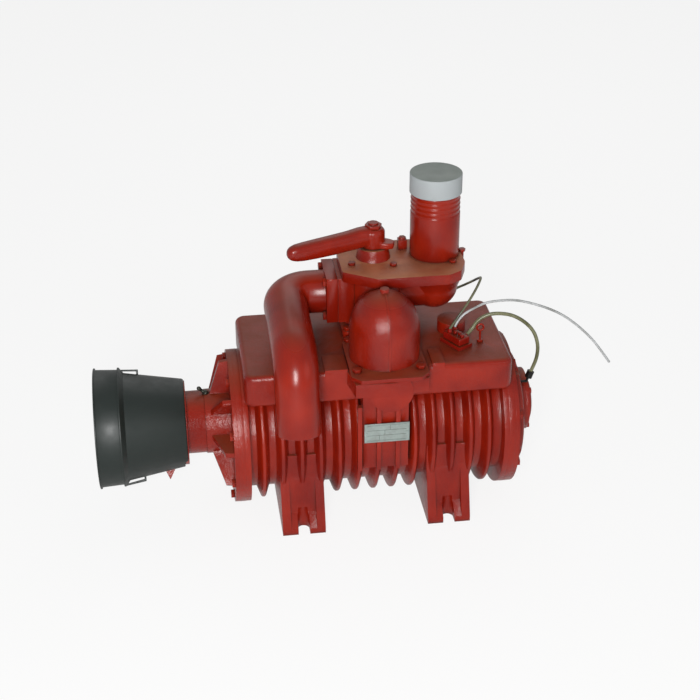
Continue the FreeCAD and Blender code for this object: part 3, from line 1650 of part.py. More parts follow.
def elbow_route():
    x = S.port_face + S.gasket + S.elbow_flange
    high = S.port_z
    corner_z = high - S.elbow_drop
    places = [
        (-x, S.valve_y, high),
        (-S.elbow_x, S.valve_y, high),
        (-S.elbow_x, -S.elbow_y, corner_z),
        (-S.elbow_x, -S.elbow_end_y, S.elbow_end_z),
    ]
    return [Vector(*[as_size(v).value for v in place]) for place in places]


def outlet_elbow():
    """Swept pipe with a square flange, from the valve's left port down past the tank."""
    route = elbow_route()
    path = bend_path(route, [S.elbow_bend_top.value, S.elbow_bend.value])
    pipe = solid_feature("elbow_pipe", swept(path, S.pipe_r.value))
    bore = solid_feature("elbow_bore", swept(path, (S.pipe_r - S.pipe_wall).value))
    face = -S.port_face - S.gasket
    flange = box(
        "elbow_flange",
        (face - S.elbow_flange, S.valve_y - S.port_half, S.port_z - S.port_half),
        (S.elbow_flange, 2 * S.port_half, 2 * S.port_half),
    )
    tools = [bore]
    bore_r = S.pipe_r - S.pipe_wall
    tools.append(cylinder("flange_bore", bore_r, S.elbow_flange, (face, S.valve_y, S.port_z), "-X"))
    for y, z in elbow_bolt_places():
        hole_r = S.bolt_r + S.bolt_clear
        tools.append(cylinder("elbow_hole", hole_r, S.elbow_flange, (face, y, z), "-X"))
    keep(cut("outlet_elbow", fused("elbow_blank", [pipe, flange]), tools), "outlet_elbow")


def dome_profile(outer_r, arc_r, set_in, low, shoulder):
    """Half section of the dome's round wall, closed at the axis."""
    apex = shoulder + root(arc_r * arc_r - set_in * set_in)
    outline = [(0, low), (outer_r, low), (outer_r, shoulder), (0, apex)]
    return outline, {2: (arc_r, -1)}, apex


def dome_flange_outline():
    """Plan of the dome's flange and its gasket, about the dome's axis."""
    half, front, cut_off = S.dome_flange_half, S.dome_flange_front, S.dome_flange_cut
    near = half - cut_off
    return [
        (-near, -front), (near, -front), (half, cut_off - front), (half, near),
        (near, half), (-near, half), (-half, near), (-half, cut_off - front),
    ]


def check_valve_dome():
    """Dome over the non-return ball: flange, bell, seam rib, nub and the neck to the valve."""
    centre = (S.valve_x, -S.dome_y)
    set_in = S.dome_arc_r - S.dome_r
    shoulder = dome_base + S.dome_shoulder
    outline, arcs, apex = dome_profile(S.dome_r, S.dome_arc_r, set_in, dome_base, shoulder)
    bell = spin("bell", outline, (*centre, 0), arcs, "V_Axis")
    inner_r = S.dome_r - S.dome_wall
    outline, arcs, ceiling = dome_profile(
        inner_r, S.dome_arc_r - S.dome_wall, set_in, dome_base, shoulder
    )
    hollow = spin("bell_hollow", outline, (*centre, 0), arcs, "V_Axis")
    flange = new_body("dome_flange", (*centre, dome_base))
    padded(flange, sketch(flange, "XY_Plane", dome_flange_outline()), S.dome_flange)
    outline, arcs, top = dome_profile(
        S.dome_r + S.seam_proud, S.dome_arc_r + S.seam_proud, set_in, dome_base, shoulder
    )
    shell = spin("seam_shell", outline, (*centre, 0), arcs, "V_Axis")
    slab = box(
        "seam_slab",
        (S.valve_x - S.seam / 2, -S.dome_y - S.dome_r - S.seam_proud, dome_base),
        (S.seam, S.dome_r, apex - dome_base),
    )
    seam = common("dome_seam", [shell, slab])
    nub = cylinder("dome_nub", S.nub_r, S.nub_height + S.seam_proud, (*centre, apex - S.seam_proud))
    neck_r = S.crossover_r + S.crossover_wall
    length = S.dome_y - S.crossover_y
    neck = cylinder("dome_neck", neck_r, length, (*centre, crossover_z), "+Y")
    blank = fused("dome_blank", [bell, flange, seam, nub, neck])
    tools = [hollow, cylinder("dome_neck_bore", S.crossover_r, length, (*centre, crossover_z), "+Y")]
    for x, y in dome_bolt_places():
        tools.append(cylinder("dome_hole", S.bolt_r + S.bolt_clear, S.dome_flange, (x, y, dome_base)))
        clear = bolt_corner_r + S.gap
        tools.append(cylinder("dome_spot", clear, S.dome_shoulder, (x, y, dome_base + S.dome_flange)))
    open_dome = cut("dome_open", blank, tools)
    keep(fused("check_valve_dome", [open_dome, ball_guides(hollow)]), "check_valve_dome")


def ball_guides(hollow):
    """Four ribs inside the bell that guide the ball and stop its lift."""
    low = S.tank_top + S.seat_height + S.gap
    plates = []
    for i in (0, 1):
        turn = FreeCAD.Rotation(Vector(0, 0, 1), 45 + 90 * i)
        plate = new_body(f"guide_{i}", (S.valve_x, -S.dome_y, low), turn)
        side = S.guide / 2
        outline = [(-S.dome_r, -side), (S.dome_r, -side), (S.dome_r, side), (-S.dome_r, side)]
        padded(plate, sketch(plate, "XY_Plane", outline), S.dome_arc_r + S.dome_shoulder)
        plates.append(plate)
    outline, arcs, apex = dome_profile(
        S.dome_r - S.dome_wall / 2,
        S.dome_arc_r - S.dome_wall / 2,
        S.dome_arc_r - S.dome_r,
        low,
        dome_base + S.dome_shoulder,
    )
    limits = spin("guide_limits", outline, (S.valve_x, -S.dome_y, 0), arcs, "V_Axis")
    star = common("guide_star", [fused("guide_plates", plates), limits])
    clear = S.ball_r + S.guide_gap
    path = [
        cylinder("ball_way", clear, ball_z + S.ball_lift - low, (S.valve_x, -S.dome_y, low)),
        ball("ball_stop", clear, (S.valve_x, -S.dome_y, ball_z + S.ball_lift)),
    ]
    return cut("guides", star, path)


def ball_seat():
    low = S.tank_top - S.seat_recess
    outline = [
        (S.seat_hole_r, low),
        (S.seat_r, low),
        (S.seat_r, low + S.seat_recess + S.seat_height),
        (S.seat_hole_r, low + S.seat_recess + S.seat_height),
    ]
    keep(spin("seat", outline, (S.valve_x, -S.dome_y, 0), axis="V_Axis"), "ball_seat")


def check_ball():
    keep(ball("check_ball", S.ball_r, (S.valve_x, -S.dome_y, ball_z)), "check_ball")


def lube_point(along, across):
    """A place on the lubricator, from its centre along its length and across it."""
    x = S.lube_x - along * sin(S.lube_turn) + across * cos(S.lube_turn)
    y = -S.lube_y + along * cos(S.lube_turn) + across * sin(S.lube_turn)
    return x, y


def drip_places():
    places = []
    for number in range(3):
        along = S.drip_pitch * number - S.drip_first
        places.append(lube_point(along, S.drip_side * (1 if number % 2 else -1)))
    return places


def fitting_places():
    return [lube_point(S.lube_length / 4, -S.fitting_r - 1), lube_point(S.lube_length / 4, S.fitting_r + 1)]


def lubricator():
    """Oil dripper block on its foot plate, with the fittings that its tubes leave from."""
    turn = FreeCAD.Rotation(Vector(0, 0, 1), S.lube_turn.value)
    foot = new_body("lube_foot", (S.lube_x, -S.lube_y, S.tank_top), turn)
    wide, long = S.lube_width / 2 + S.lube_plate / 2, S.lube_length / 2 + S.lube_plate / 2
    outline = [(-wide, -long), (wide, -long), (wide, long), (-wide, long)]
    padded(foot, sketch(foot, "XY_Plane", outline), S.lube_plate)
    block = new_body("lube_block", (S.lube_x, -S.lube_y, S.tank_top + S.lube_plate), turn)
    wide, long = S.lube_width / 2, S.lube_length / 2
    outline = [(-wide, -long), (wide, -long), (wide, long), (-wide, long)]
    pad = padded(block, sketch(block, "XY_Plane", outline), S.lube_height)
    rounded(block, pad, S.oil_pipe_r, lambda e: True)
    tools = []
    for x, y in drip_places():
        depth = S.drip_depth + 1
        tools.append(cylinder("drip_hole", S.drip_screw_r + S.gap, depth, (x, y, lube_top), "-Z"))
    keep(cut("lubricator", fused("lube_blank", [foot, block]), tools), "lubricator")
    fittings = []
    for x, y in fitting_places():
        fittings.append(hexagon("oil_fitting", S.fitting_r * 2 - 1, S.fitting_height / 2, (x, y, lube_top)))
        fittings.append(cylinder("oil_collar", S.fitting_r - 1, S.fitting_height, (x, y, lube_top)))
    x, y = lube_point(-S.lube_length / 10, S.lube_width / 2)
    z = lube_top - S.lube_height / 2
    turned_x = FreeCAD.Rotation(Vector(0, 0, 1), S.lube_turn.value) * TURNS["+X"]
    side = doc.addObject("Part::Cylinder", "side_collar")
    bind(side, Radius=S.fitting_r - 1, Height=S.fitting_height)
    fittings.append(place(side, (x, y, z), turned_x))
    pairs = [fused("fitting_0", fittings[0:2]), fused("fitting_1", fittings[2:4]), fittings[4]]
    keep(together("oil_fittings", pairs), "oil_fittings")


def drip_screws():
    for number, (x, y) in enumerate(drip_places(), start=1):
        shank = cylinder("drip_shank", S.drip_screw_r, S.drip_depth, (x, y, lube_top), "-Z")
        head = cylinder("drip_head", S.drip_head_r, S.drip_head, (x, y, lube_top + S.gap))
        neck = cylinder("drip_neck", S.drip_screw_r, S.gap, (x, y, lube_top))
        keep(fused(f"drip_screw_{number}", [shank, neck, head]), f"drip_screw_{number}")


# ends of the black union between the rear tube and its thin pipe
UNION_TOP = Vector(271, -29.5, 216)
UNION_FOOT = Vector(267, -30, 205)


def oil_tubes():
    """The three lubrication tubes, each along its own hand-chosen route."""
    left, right = [tuple(as_size(v).value for v in spot) for spot in fitting_places()]
    top = (lube_top + S.fitting_height).value
    x, y = lube_point(-S.lube_length / 10, S.lube_width / 2 + S.fitting_height)
    side = (x.value, y.value, (lube_top - S.lube_height / 2).value)
    routes = {
        "oil_tube_a": [
            (144, 67.6, 318.6),
            (160, 74, 324),
            (180, 60, 340),
            (191, 27, 366),
            (189, 6, 376),
            (178, -11, 366),
            (160, -28, 348),
            (143, -38, 330),
            (left[0], left[1], top),
        ],
        "oil_tube_b": [
            (right[0], right[1], top),
            (right[0] + 4, right[1] + 2, top + 8),
            (156, -26, 330),
            (176, -24, 339),
            (190, -21, 344),
            (214, -20, 346),
            (244, -20, 345),
            (285, -20, 331),
            (317, -20, 315),
            (344, -20, 294),
            (372, -20, 266),
            (390, -20, 242),
            (407, -20, 217),
        ],
        "oil_tube_c": [
            side,
            (side[0] + 9, side[1] + 5, side[2] + 5),
            (177, -30, 318),
            (193, -31, 328),
            (211, -33, 330),
            (234, -33, 325),
            (256, -32, 310),
            (272, -32, 291),
            (280, -31, 266),
            (280, -30, 245),
            (276, -30, 229),
            tuple(UNION_TOP),
        ],
    }
    for name, route in routes.items():
        points = [Vector(*spot) for spot in route]
        radii = free_radii(points)
        path = bend_path(points, radii)
        radius = (S.tube_r if name == "oil_tube_c" else S.thin_tube_r).value
        tube = swept(path, radius)
        section = math.pi * radius**2
        print(name, "length", round(path.Length, 1), "radii", [round(r) for r in radii])
        print(name, "volume over section times length", round(tube.Volume / section / path.Length, 4))
        keep(solid_feature(name, tube), name)


def rear_oil_fitting():
    """Black union at the end of the tube, and the thin pipe into the rear cover."""
    y, z = -S.oil_port_y, S.oil_port_z
    nut_face = S.rear_body_end + S.oil_port_height
    nut = hexagon("oil_port_nut", S.oil_port_r * 2, S.oil_port_height, (S.rear_body_end, y, z), "+X")
    start = Vector(nut_face.value, y.value, z.value)
    low = UNION_FOOT
    top = UNION_TOP
    along = (top - low).normalize()
    route = [start, start + Vector(9, 0, 0), low - along * 9, low]
    pipe = solid_feature("oil_pipe", swept(bend_path(route, free_radii(route)), S.oil_pipe_r.value))
    union_wall = Part.makeCylinder(S.oil_fitting_r.value, (top - low).Length, low, along)
    union = solid_feature("union", union_wall)
    keep(fused("rear_oil_fitting", [union, pipe, nut]), "rear_oil_fitting")


def nameplate():
    """Blank plate on the duct's ribs, with its rivets."""
    low = (-S.nameplate_x, -S.duct_rib_y - S.nameplate_thick, S.nameplate_z)
    plate = box("plate_blank", low, (S.nameplate_width, S.nameplate_thick, S.nameplate_height))
    inset = S.rivet_r * 2
    holes, rivets = [], []
    for x in (-S.nameplate_x + inset, -S.nameplate_x + S.nameplate_width - inset):
        z = S.nameplate_z + S.nameplate_height / 2
        y = -S.duct_rib_y - S.nameplate_thick
        holes.append(cylinder("rivet_hole", S.rivet_r / 2 + S.fit, S.nameplate_thick, (x, y, z), "+Y"))
        head = ball("rivet_head", S.rivet_r, (x, y, z))
        over = box(
            "rivet_trim",
            (x - 2 * S.rivet_r, y, z - 2 * S.rivet_r),
            (4 * S.rivet_r, 2 * S.rivet_r, 4 * S.rivet_r),
        )
        stem = cylinder("rivet_stem", S.rivet_r / 2, S.nameplate_thick, (x, y, z), "+Y")
        rivets.append(fused("rivet", [cut("rivet_dome", head, [over]), stem]))
    keep(cut("nameplate", plate, holes), "nameplate")
    keep(together("nameplate_rivets", rivets), "nameplate_rivets")


def drain_plug():
    at = (S.plug_x, S.tank_half_width, S.plug_z)
    head = hexagon("plug_head", S.plug_af, S.plug_head, at, "+Y")
    shank = cylinder("plug_shank", S.plug_r, S.tank_wall - 1, at, "-Y")
    keep(fused("drain_plug", [head, shank]), "drain_plug")


def dipstick():
    """Oil dipstick: a rod through the tank's top with a wire ring to pull it by."""
    at = (S.dip_x, -S.dip_y)
    collar = cylinder("dip_collar", S.dip_collar_r, S.dip_collar, (*at, S.tank_top))
    floor = higher(barrel_z + S.barrel_r, S.tank_bottom + S.tank_wall)
    reach = S.tank_top - floor - S.dip_clear
    rod = cylinder("dip_rod", S.dip_r, reach, (*at, S.tank_top), "-Z")
    stem_z = S.tank_top + S.dip_collar
    stem = cylinder("dip_stem", S.dip_wire_r, S.dip_stem, (*at, stem_z))
    ring = doc.addObject("Part::Torus", "dip_ring")
    bind(ring, Radius1=S.dip_ring_r, Radius2=S.dip_wire_r)
    place(ring, (*at, stem_z + S.dip_stem + S.dip_ring_r), FreeCAD.Rotation(Vector(1, 0, 0), 90))
    keep(fused("dipstick", [collar, rod, stem, ring]), "dipstick")


housing()
front_cover()
rear_cover()
cover_gaskets()
cover_bolts()
bearing("front", -S.front_bearing_x - S.bearing_width)
bearing("rear", S.rear_bearing_x)
drive_shaft()
rotor()
bearing_cap()
small_bolts("bearing_cap_bolts", S.rear_boss_end + S.end_cap_flange, "+X", S.end_cap_flange + S.small_bolt_grip)
bracket_grip = S.bracket_end - S.hub_end + S.small_bolt_grip
small_bolts("bracket_bolts", -S.bracket_end, "-X", bracket_grip)
shaft_seal()
guard_bracket()
pto_guard()
guard_screws()
grease_nipple()
valve_body()
valve_gaskets()
flange_bolts()
valve_top_plate()
valve_top_bolts()
hose_spigot()
spigot_cap()
flow_diverter()
reversing_lever()
lever_nut()
stop_lug()
outlet_elbow()
check_valve_dome()
ball_seat()
check_ball()
lubricator()
drip_screws()
oil_tubes()
rear_oil_fitting()
nameplate()
drain_plug()
dipstick()

doc.recompute()
bad = [item.Name for item in doc.Objects if {"Invalid", "Error"} & set(item.State)]
for label, item in kept.items():
    if item.Shape.isNull() or not item.Shape.isValid() or not item.Shape.Solids:
        bad.append(label)
if bad:
    raise RuntimeError("these did not build: " + ", ".join(bad))

os.makedirs("parts", exist_ok=True)
for label, item in kept.items():
    item.Shape.exportStep(f"parts/{label}.step")
print(len(kept), "pieces written")
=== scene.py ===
import bmesh
import bpy
import json
import math
from bpy.props import FloatProperty, FloatVectorProperty, PointerProperty
from mathutils import Matrix, Vector


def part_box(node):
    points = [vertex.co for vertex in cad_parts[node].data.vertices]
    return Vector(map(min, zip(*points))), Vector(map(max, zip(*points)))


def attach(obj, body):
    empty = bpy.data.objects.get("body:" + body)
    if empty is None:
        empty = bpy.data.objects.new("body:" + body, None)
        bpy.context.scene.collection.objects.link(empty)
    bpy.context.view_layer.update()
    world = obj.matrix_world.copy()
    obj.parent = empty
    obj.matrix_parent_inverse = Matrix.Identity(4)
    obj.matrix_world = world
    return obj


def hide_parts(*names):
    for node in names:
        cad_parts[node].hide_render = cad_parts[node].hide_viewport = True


bl_info = {
    "name": "Vacuum pump finish",
    "version": (1, 0, 0),
    "blender": (4, 5, 0),
    "location": "View3D > Sidebar > Pump",
    "description": "Dresses the vacuum pump: enamel, guard, oil tubes, fittings and a plain studio",
    "category": "Object",
}

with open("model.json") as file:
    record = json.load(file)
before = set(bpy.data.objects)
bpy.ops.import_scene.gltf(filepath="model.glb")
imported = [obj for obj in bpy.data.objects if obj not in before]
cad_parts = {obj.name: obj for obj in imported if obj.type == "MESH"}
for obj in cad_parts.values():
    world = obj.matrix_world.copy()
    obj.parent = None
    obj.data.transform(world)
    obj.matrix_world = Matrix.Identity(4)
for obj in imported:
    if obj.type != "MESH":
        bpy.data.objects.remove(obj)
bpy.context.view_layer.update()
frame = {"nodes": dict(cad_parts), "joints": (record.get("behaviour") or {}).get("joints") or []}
NODES = frame["nodes"]
MM = 0.001
BODY = "casing"
# faces that meet at more than the first angle get a rounded edge, and past the second they shade apart
ROUND_FROM = math.radians(32)
SHARP_FROM = math.radians(48)
# radius of the ends of a turned profile, in millimetres: a little off the axis, so that each ring has faces
NEAR_AXIS = 0.01


def linear(code):
    """An sRGB hex value as linear red, green, blue and a full alpha."""
    shares = [int(code[i:i + 2], 16) / 255 for i in (1, 3, 5)]
    return tuple(c / 12.92 if c <= 0.04045 else ((c + 0.055) / 1.055) ** 2.4 for c in shares) + (1.0,)


def joint_place(name):
    """A point on a joint's axis, in millimetres."""
    spot = next(joint["pos_m"] for joint in frame["joints"] if joint["name"] == name)
    return Vector(spot) / MM


def colour(name, words, code):
    """A property that holds a colour."""
    return FloatVectorProperty(
        name=name, description=words, subtype="COLOR", size=4, min=0, max=1, default=linear(code)
    )


def length(name, words, millimetres):
    """A property that holds a length."""
    return FloatProperty(name=name, description=words, unit="LENGTH", default=millimetres * MM)


class PumpColours(bpy.types.PropertyGroup):
    enamel: colour("Enamel", "Red enamel where it faces the light", "#921E0A")
    enamel_deep: colour("Deep enamel", "Red enamel where it lies thick", "#781206")
    # painted reflection and dust: brown for faces that look up, standing for dust and oil and for the dark
    # surroundings that glossy tops reflect
    film_and_sheen: colour("Oil film", "Brown film of dust and oil on faces that look up", "#7A361C")
    # painted light and dust: the paler brown of the plate's top, lighter to make up for the shadow of the
    # spigot
    dust_and_sheen: colour("Dust", "Pale brown dust on the valve's top plate", "#AC704E")
    # painted shade: the dark brown that corners and creases are darkened towards
    corner_shade: colour("Corner_shade", "Dark dirt in the corners of the castings", "#3A1C14")
    wet: colour("Wet enamel", "Enamel of the lubricator, darkened by oil", "#A31A14")
    guard: colour("Guard", "Moulded plastic of the drive guard", "#141E1B")
    cap_side: colour("Cap", "Polyethylene cap on the hose spigot", "#A6ACAE")
    # painted shade: the darker colour given to the cap's top
    shaded_cap_top: colour("Cap's top", "Duller top of the cap", "#7E8781")
    plate: colour("Nameplate", "Dull aluminium of the nameplate", "#97A39F")
    black_tube: colour("Kinked tube", "Kinked lubricating tube, dark with old oil", "#33332A")
    grey_tube: colour("Grey tube", "Stiff lubricating tube with a bare end", "#B9BBBC")
    olive_tube: colour("Olive tube", "Tube clouded with oil", "#77775A")


class PumpSizes(bpy.types.PropertyGroup):
    cast_edge: length("Cast edge", "Rounding of a sand-cast edge under enamel", 2.2)
    cut_edge: length("Machined edge", "Rounding of a machined edge", 0.5)
    thin_tube: length("Thin tube", "Outer diameter of the kinked and the bare tube", 4)
    rear_tube: length("Rear tube", "Outer diameter of the tube to the rear cover", 6)
    plate_rim: length("Plate rim", "Width of the nameplate's pressed rim", 1.6)
    cloud: length("Clouds", "Size of the cloudy shades in the enamel", 70)
    # patches of the brown film on faces that look up, which is dust and painted reflection
    dust_and_sheen: length("Dust", "Size of the patches of dust and oil", 35)
    # painted shade: how far the darkening reaches out of a corner
    corner: length("Corner dirt", "How far dirt reaches out of a corner", 9)
    peel: length("Orange peel", "Size of the ripples in sprayed enamel", 4)


class PumpStudio(bpy.types.PropertyGroup):
    floor: length("Floor", "Side of the square floor", 40000)
    lens: FloatProperty(name="Lens", description="Focal length in millimetres", default=77.14)
    distance: length("Distance", "From the aim point to the camera", 2452.4)
    aim_height: length("Aim height", "Height of the aim point above the floor", 250)
    aim_right: length("Aim right", "Shift of the aim along the view's right", -25.76)
    aim_up: length("Aim up", "Shift of the aim along the view's up", 9.19)
    azimuth: FloatProperty(name="Azimuth", subtype="ANGLE", default=math.radians(-7.733))
    elevation: FloatProperty(name="Elevation", subtype="ANGLE", default=math.radians(29.0))
    roll: FloatProperty(name="Roll", subtype="ANGLE", default=math.radians(0.175))
    key_power: FloatProperty(name="Key", description="Power of the main soft box", default=52)
    fill_power: FloatProperty(name="Fill", description="Power of the fill soft box", default=2.5)
    rim_power: FloatProperty(name="Rim", description="Power of the soft box behind", default=7)
    floor_glow: FloatProperty(name="Floor's glow", description="Share of plain white in it", default=0.85)
    glossy: FloatProperty(name="Glossy", description="Share of white that glossy faces see", default=0.35)
    world_level: FloatProperty(name="World", description="Strength of the light all round", default=0.27)


def node(tree, kind, inputs=None, **settings):
    """Adds a node. An input's value is a number, a colour, or an output to link it to.

    A colour Mix takes its share at input 0 and its colours at 6 and 7, and gives the mix at output 2.
    """
    item = tree.nodes.new(kind)
    for name, value in settings.items():
        setattr(item, name, value)
    for socket, value in (inputs or {}).items():
        if isinstance(value, bpy.types.NodeSocket):
            tree.links.new(value, item.inputs[socket])
        else:
            item.inputs[socket].default_value = value
    return item


def new_material(name):
    """An empty material and its node tree."""
    material = bpy.data.materials.new(name)
    material.use_nodes = True
    tree = material.node_tree
    tree.nodes.clear()
    return material, tree


def per(distance):
    """A texture's scale for marks that are this far apart, in metres."""
    return 1 / distance


def red_enamel(name, red, colours, sizes, grain, depth, gloss, dust_and_sheen, top_colour=None):
    """Alkyd enamel sprayed thick on iron.

    It gives the eye a warm red under a glossy skin with a faint orange peel. Faces that look up get
    a brown matt film: it stands for dust and oil, and is also a painted reflection of the dark
    surroundings that glossy tops show. Ambient occlusion darkens the corners towards a dark brown,
    as painted shade. The grain of the casting under it breaks up the highlights.
    """
    material, tree = new_material(name)
    place = node(tree, "ShaderNodeTexCoord").outputs["Object"]
    cloud = node(tree, "ShaderNodeTexNoise", {"Vector": place, "Scale": per(sizes.cloud), "Detail": 2.0})
    clouds = {"Value": cloud.outputs["Fac"], "From Min": 0.35, "From Max": 0.68}
    thick = node(tree, "ShaderNodeMapRange", clouds)
    reds = {0: thick.outputs[0], 6: red, 7: tuple(colours.enamel_deep)}
    paint = node(tree, "ShaderNodeMix", reds, data_type="RGBA")
    facing = node(tree, "ShaderNodeNewGeometry").outputs["Normal"]
    up = node(tree, "ShaderNodeSeparateXYZ", {"Vector": facing}).outputs["Z"]
    # painted reflection and dust: the brown film begins on faces that tilt 42 degrees from level, and is
    # whole on those within 8
    level = node(tree, "ShaderNodeMapRange", {"Value": up, "From Min": 0.74, "From Max": 0.99})
    patch = node(tree, "ShaderNodeTexNoise", {"Vector": place, "Scale": per(sizes.dust_and_sheen), "Detail": 3.0})
    patchy = node(
        tree,
        "ShaderNodeMapRange",
        {
            "Value": patch.outputs["Fac"],
            "From Min": 0.2,
            "From Max": 0.75,
            "To Min": 0.5 * dust_and_sheen,
            "To Max": dust_and_sheen,
        },
    )
    # painted reflection and dust: share of the brown film, by how level the face is and by patches
    film_and_sheen = node(tree, "ShaderNodeMath", {0: level.outputs[0], 1: patchy.outputs[0]}, operation="MULTIPLY")
    shades = {0: film_and_sheen.outputs[0], 6: paint.outputs[2], 7: tuple(top_colour or colours.film_and_sheen)}
    filmed = node(tree, "ShaderNodeMix", shades, data_type="RGBA")
    # painted shade: where ambient occlusion finds a corner or crease, the enamel is darkened towards a dark
    # brown
    open_share = node(tree, "ShaderNodeAmbientOcclusion", {"Distance": sizes.corner}, samples=6).outputs["AO"]
    painted_shade = node(
        tree,
        "ShaderNodeMapRange",
        {"Value": open_share, "From Min": 0.25, "From Max": 0.8, "To Min": 0.75, "To Max": 0.0},
    )
    shades = {0: painted_shade.outputs[0], 6: filmed.outputs[2], 7: tuple(colours.corner_shade)}
    base = node(tree, "ShaderNodeMix", shades, data_type="RGBA")
    rough = node(tree, "ShaderNodeMapRange", {"Value": film_and_sheen.outputs[0], "To Min": gloss, "To Max": 0.58})
    iron_grain = {"Vector": place, "Scale": per(grain), "Detail": 4.0, "Roughness": 0.6}
    pits = node(tree, "ShaderNodeTexNoise", iron_grain)
    ripple = node(tree, "ShaderNodeTexNoise", {"Vector": place, "Scale": per(sizes.peel * 3), "Detail": 1.0})
    skin = node(
        tree, "ShaderNodeBump", {"Height": ripple.outputs["Fac"], "Strength": 0.35, "Distance": depth * 1.5}
    )
    bump = node(
        tree,
        "ShaderNodeBump",
        {"Height": pits.outputs["Fac"], "Strength": 0.4, "Distance": depth, "Normal": skin.outputs["Normal"]},
    )
    shader = node(
        tree,
        "ShaderNodeBsdfPrincipled",
        {
            "Base Color": base.outputs[2],
            "Roughness": rough.outputs[0],
            "Specular IOR Level": 0.35,
            "Normal": bump.outputs["Normal"],
        },
    )
    node(tree, "ShaderNodeOutputMaterial", {"Surface": shader.outputs["BSDF"]})
    return material


def moulded_plastic(name, side, top, gloss, grain):
    """Injection-moulded polyethylene: even and waxy, with a faint grain. Faces that look up take the top
    colour, as painted shade.
    """
    material, tree = new_material(name)
    place = node(tree, "ShaderNodeTexCoord").outputs["Object"]
    facing = node(tree, "ShaderNodeNewGeometry").outputs["Normal"]
    up = node(tree, "ShaderNodeSeparateXYZ", {"Vector": facing}).outputs["Z"]
    # painted shade: faces that look up turn towards the top colour
    level = node(tree, "ShaderNodeMapRange", {"Value": up, "From Min": 0.6, "From Max": 0.98})
    base = node(tree, "ShaderNodeMix", {0: level.outputs[0], 6: tuple(side), 7: tuple(top)}, data_type="RGBA")
    scuff = node(tree, "ShaderNodeTexNoise", {"Vector": place, "Scale": per(22 * MM), "Detail": 4.0})
    rough = node(
        tree,
        "ShaderNodeMapRange",
        {
            "Value": scuff.outputs["Fac"],
            "From Min": 0.3,
            "From Max": 0.8,
            "To Min": gloss - 0.06,
            "To Max": gloss + 0.12,
        },
    )
    skin = node(tree, "ShaderNodeTexNoise", {"Vector": place, "Scale": per(grain), "Detail": 2.0})
    bump = node(
        tree, "ShaderNodeBump", {"Height": skin.outputs["Fac"], "Strength": 0.4, "Distance": 0.12 * MM}
    )
    shader = node(
        tree,
        "ShaderNodeBsdfPrincipled",
        {
            "Base Color": base.outputs[2],
            "Roughness": rough.outputs[0],
            "Specular IOR Level": 0.5,
            "Normal": bump.outputs["Normal"],
        },
    )
    node(tree, "ShaderNodeOutputMaterial", {"Surface": shader.outputs["BSDF"]})
    return material


def turned_steel(name, code, gloss, pitch):
    """Lathe-turned steel under a film of oil: a grey metal with fine rings across its axis.

    Real tool marks are 0.2 mm apart. They are drawn at the given pitch, so that they show.
    """
    material, tree = new_material(name)
    place = node(tree, "ShaderNodeTexCoord").outputs["Object"]
    ring_scale = per(pitch) / math.tau
    rings = node(
        tree,
        "ShaderNodeTexWave",
        {"Vector": place, "Scale": ring_scale, "Distortion": 0.4, "Detail": 1.0},
        bands_direction="X",
    )
    blot = node(tree, "ShaderNodeTexNoise", {"Vector": place, "Scale": per(14 * MM), "Detail": 4.0})
    blots = {"Value": blot.outputs["Fac"], "From Min": 0.35, "From Max": 0.75}
    stain = node(tree, "ShaderNodeMapRange", blots)
    base = node(
        tree, "ShaderNodeMix", {0: stain.outputs[0], 6: linear(code), 7: linear("#5A5753")}, data_type="RGBA"
    )
    glosses = {"Value": stain.outputs[0], "To Min": gloss, "To Max": gloss + 0.2}
    rough = node(tree, "ShaderNodeMapRange", glosses)
    bump = node(
        tree, "ShaderNodeBump", {"Height": rings.outputs["Fac"], "Strength": 0.35, "Distance": 0.03 * MM}
    )
    shader = node(
        tree,
        "ShaderNodeBsdfPrincipled",
        {
            "Base Color": base.outputs[2],
            "Metallic": 1.0,
            "Roughness": rough.outputs[0],
            "Normal": bump.outputs["Normal"],
        },
    )
    node(tree, "ShaderNodeOutputMaterial", {"Surface": shader.outputs["BSDF"]})
    return material


def plain_finish(name, code, second, metallic, gloss, grain):
    """Rubber, laminate, brass, bare iron, dull plating or ink: a fine mottling of two near shades."""
    material, tree = new_material(name)
    place = node(tree, "ShaderNodeTexCoord").outputs["Object"]
    mottle = node(tree, "ShaderNodeTexNoise", {"Vector": place, "Scale": per(grain * 6), "Detail": 4.0})
    mottles = {"Value": mottle.outputs["Fac"], "From Min": 0.3, "From Max": 0.75}
    share = node(tree, "ShaderNodeMapRange", mottles)
    base = node(
        tree, "ShaderNodeMix", {0: share.outputs[0], 6: linear(code), 7: linear(second)}, data_type="RGBA"
    )
    fine = node(tree, "ShaderNodeTexNoise", {"Vector": place, "Scale": per(grain), "Detail": 3.0})
    rough = node(
        tree,
        "ShaderNodeMapRange",
        {
            "Value": fine.outputs["Fac"],
            "From Min": 0.2,
            "From Max": 0.8,
            "To Min": gloss - 0.06,
            "To Max": gloss + 0.08,
        },
    )
    bump = node(
        tree, "ShaderNodeBump", {"Height": fine.outputs["Fac"], "Strength": 0.4, "Distance": 0.08 * MM}
    )
    shader = node(
        tree,
        "ShaderNodeBsdfPrincipled",
        {
            "Base Color": base.outputs[2],
            "Metallic": metallic,
            "Roughness": rough.outputs[0],
            "Normal": bump.outputs["Normal"],
        },
    )
    node(tree, "ShaderNodeOutputMaterial", {"Surface": shader.outputs["BSDF"]})
    return material


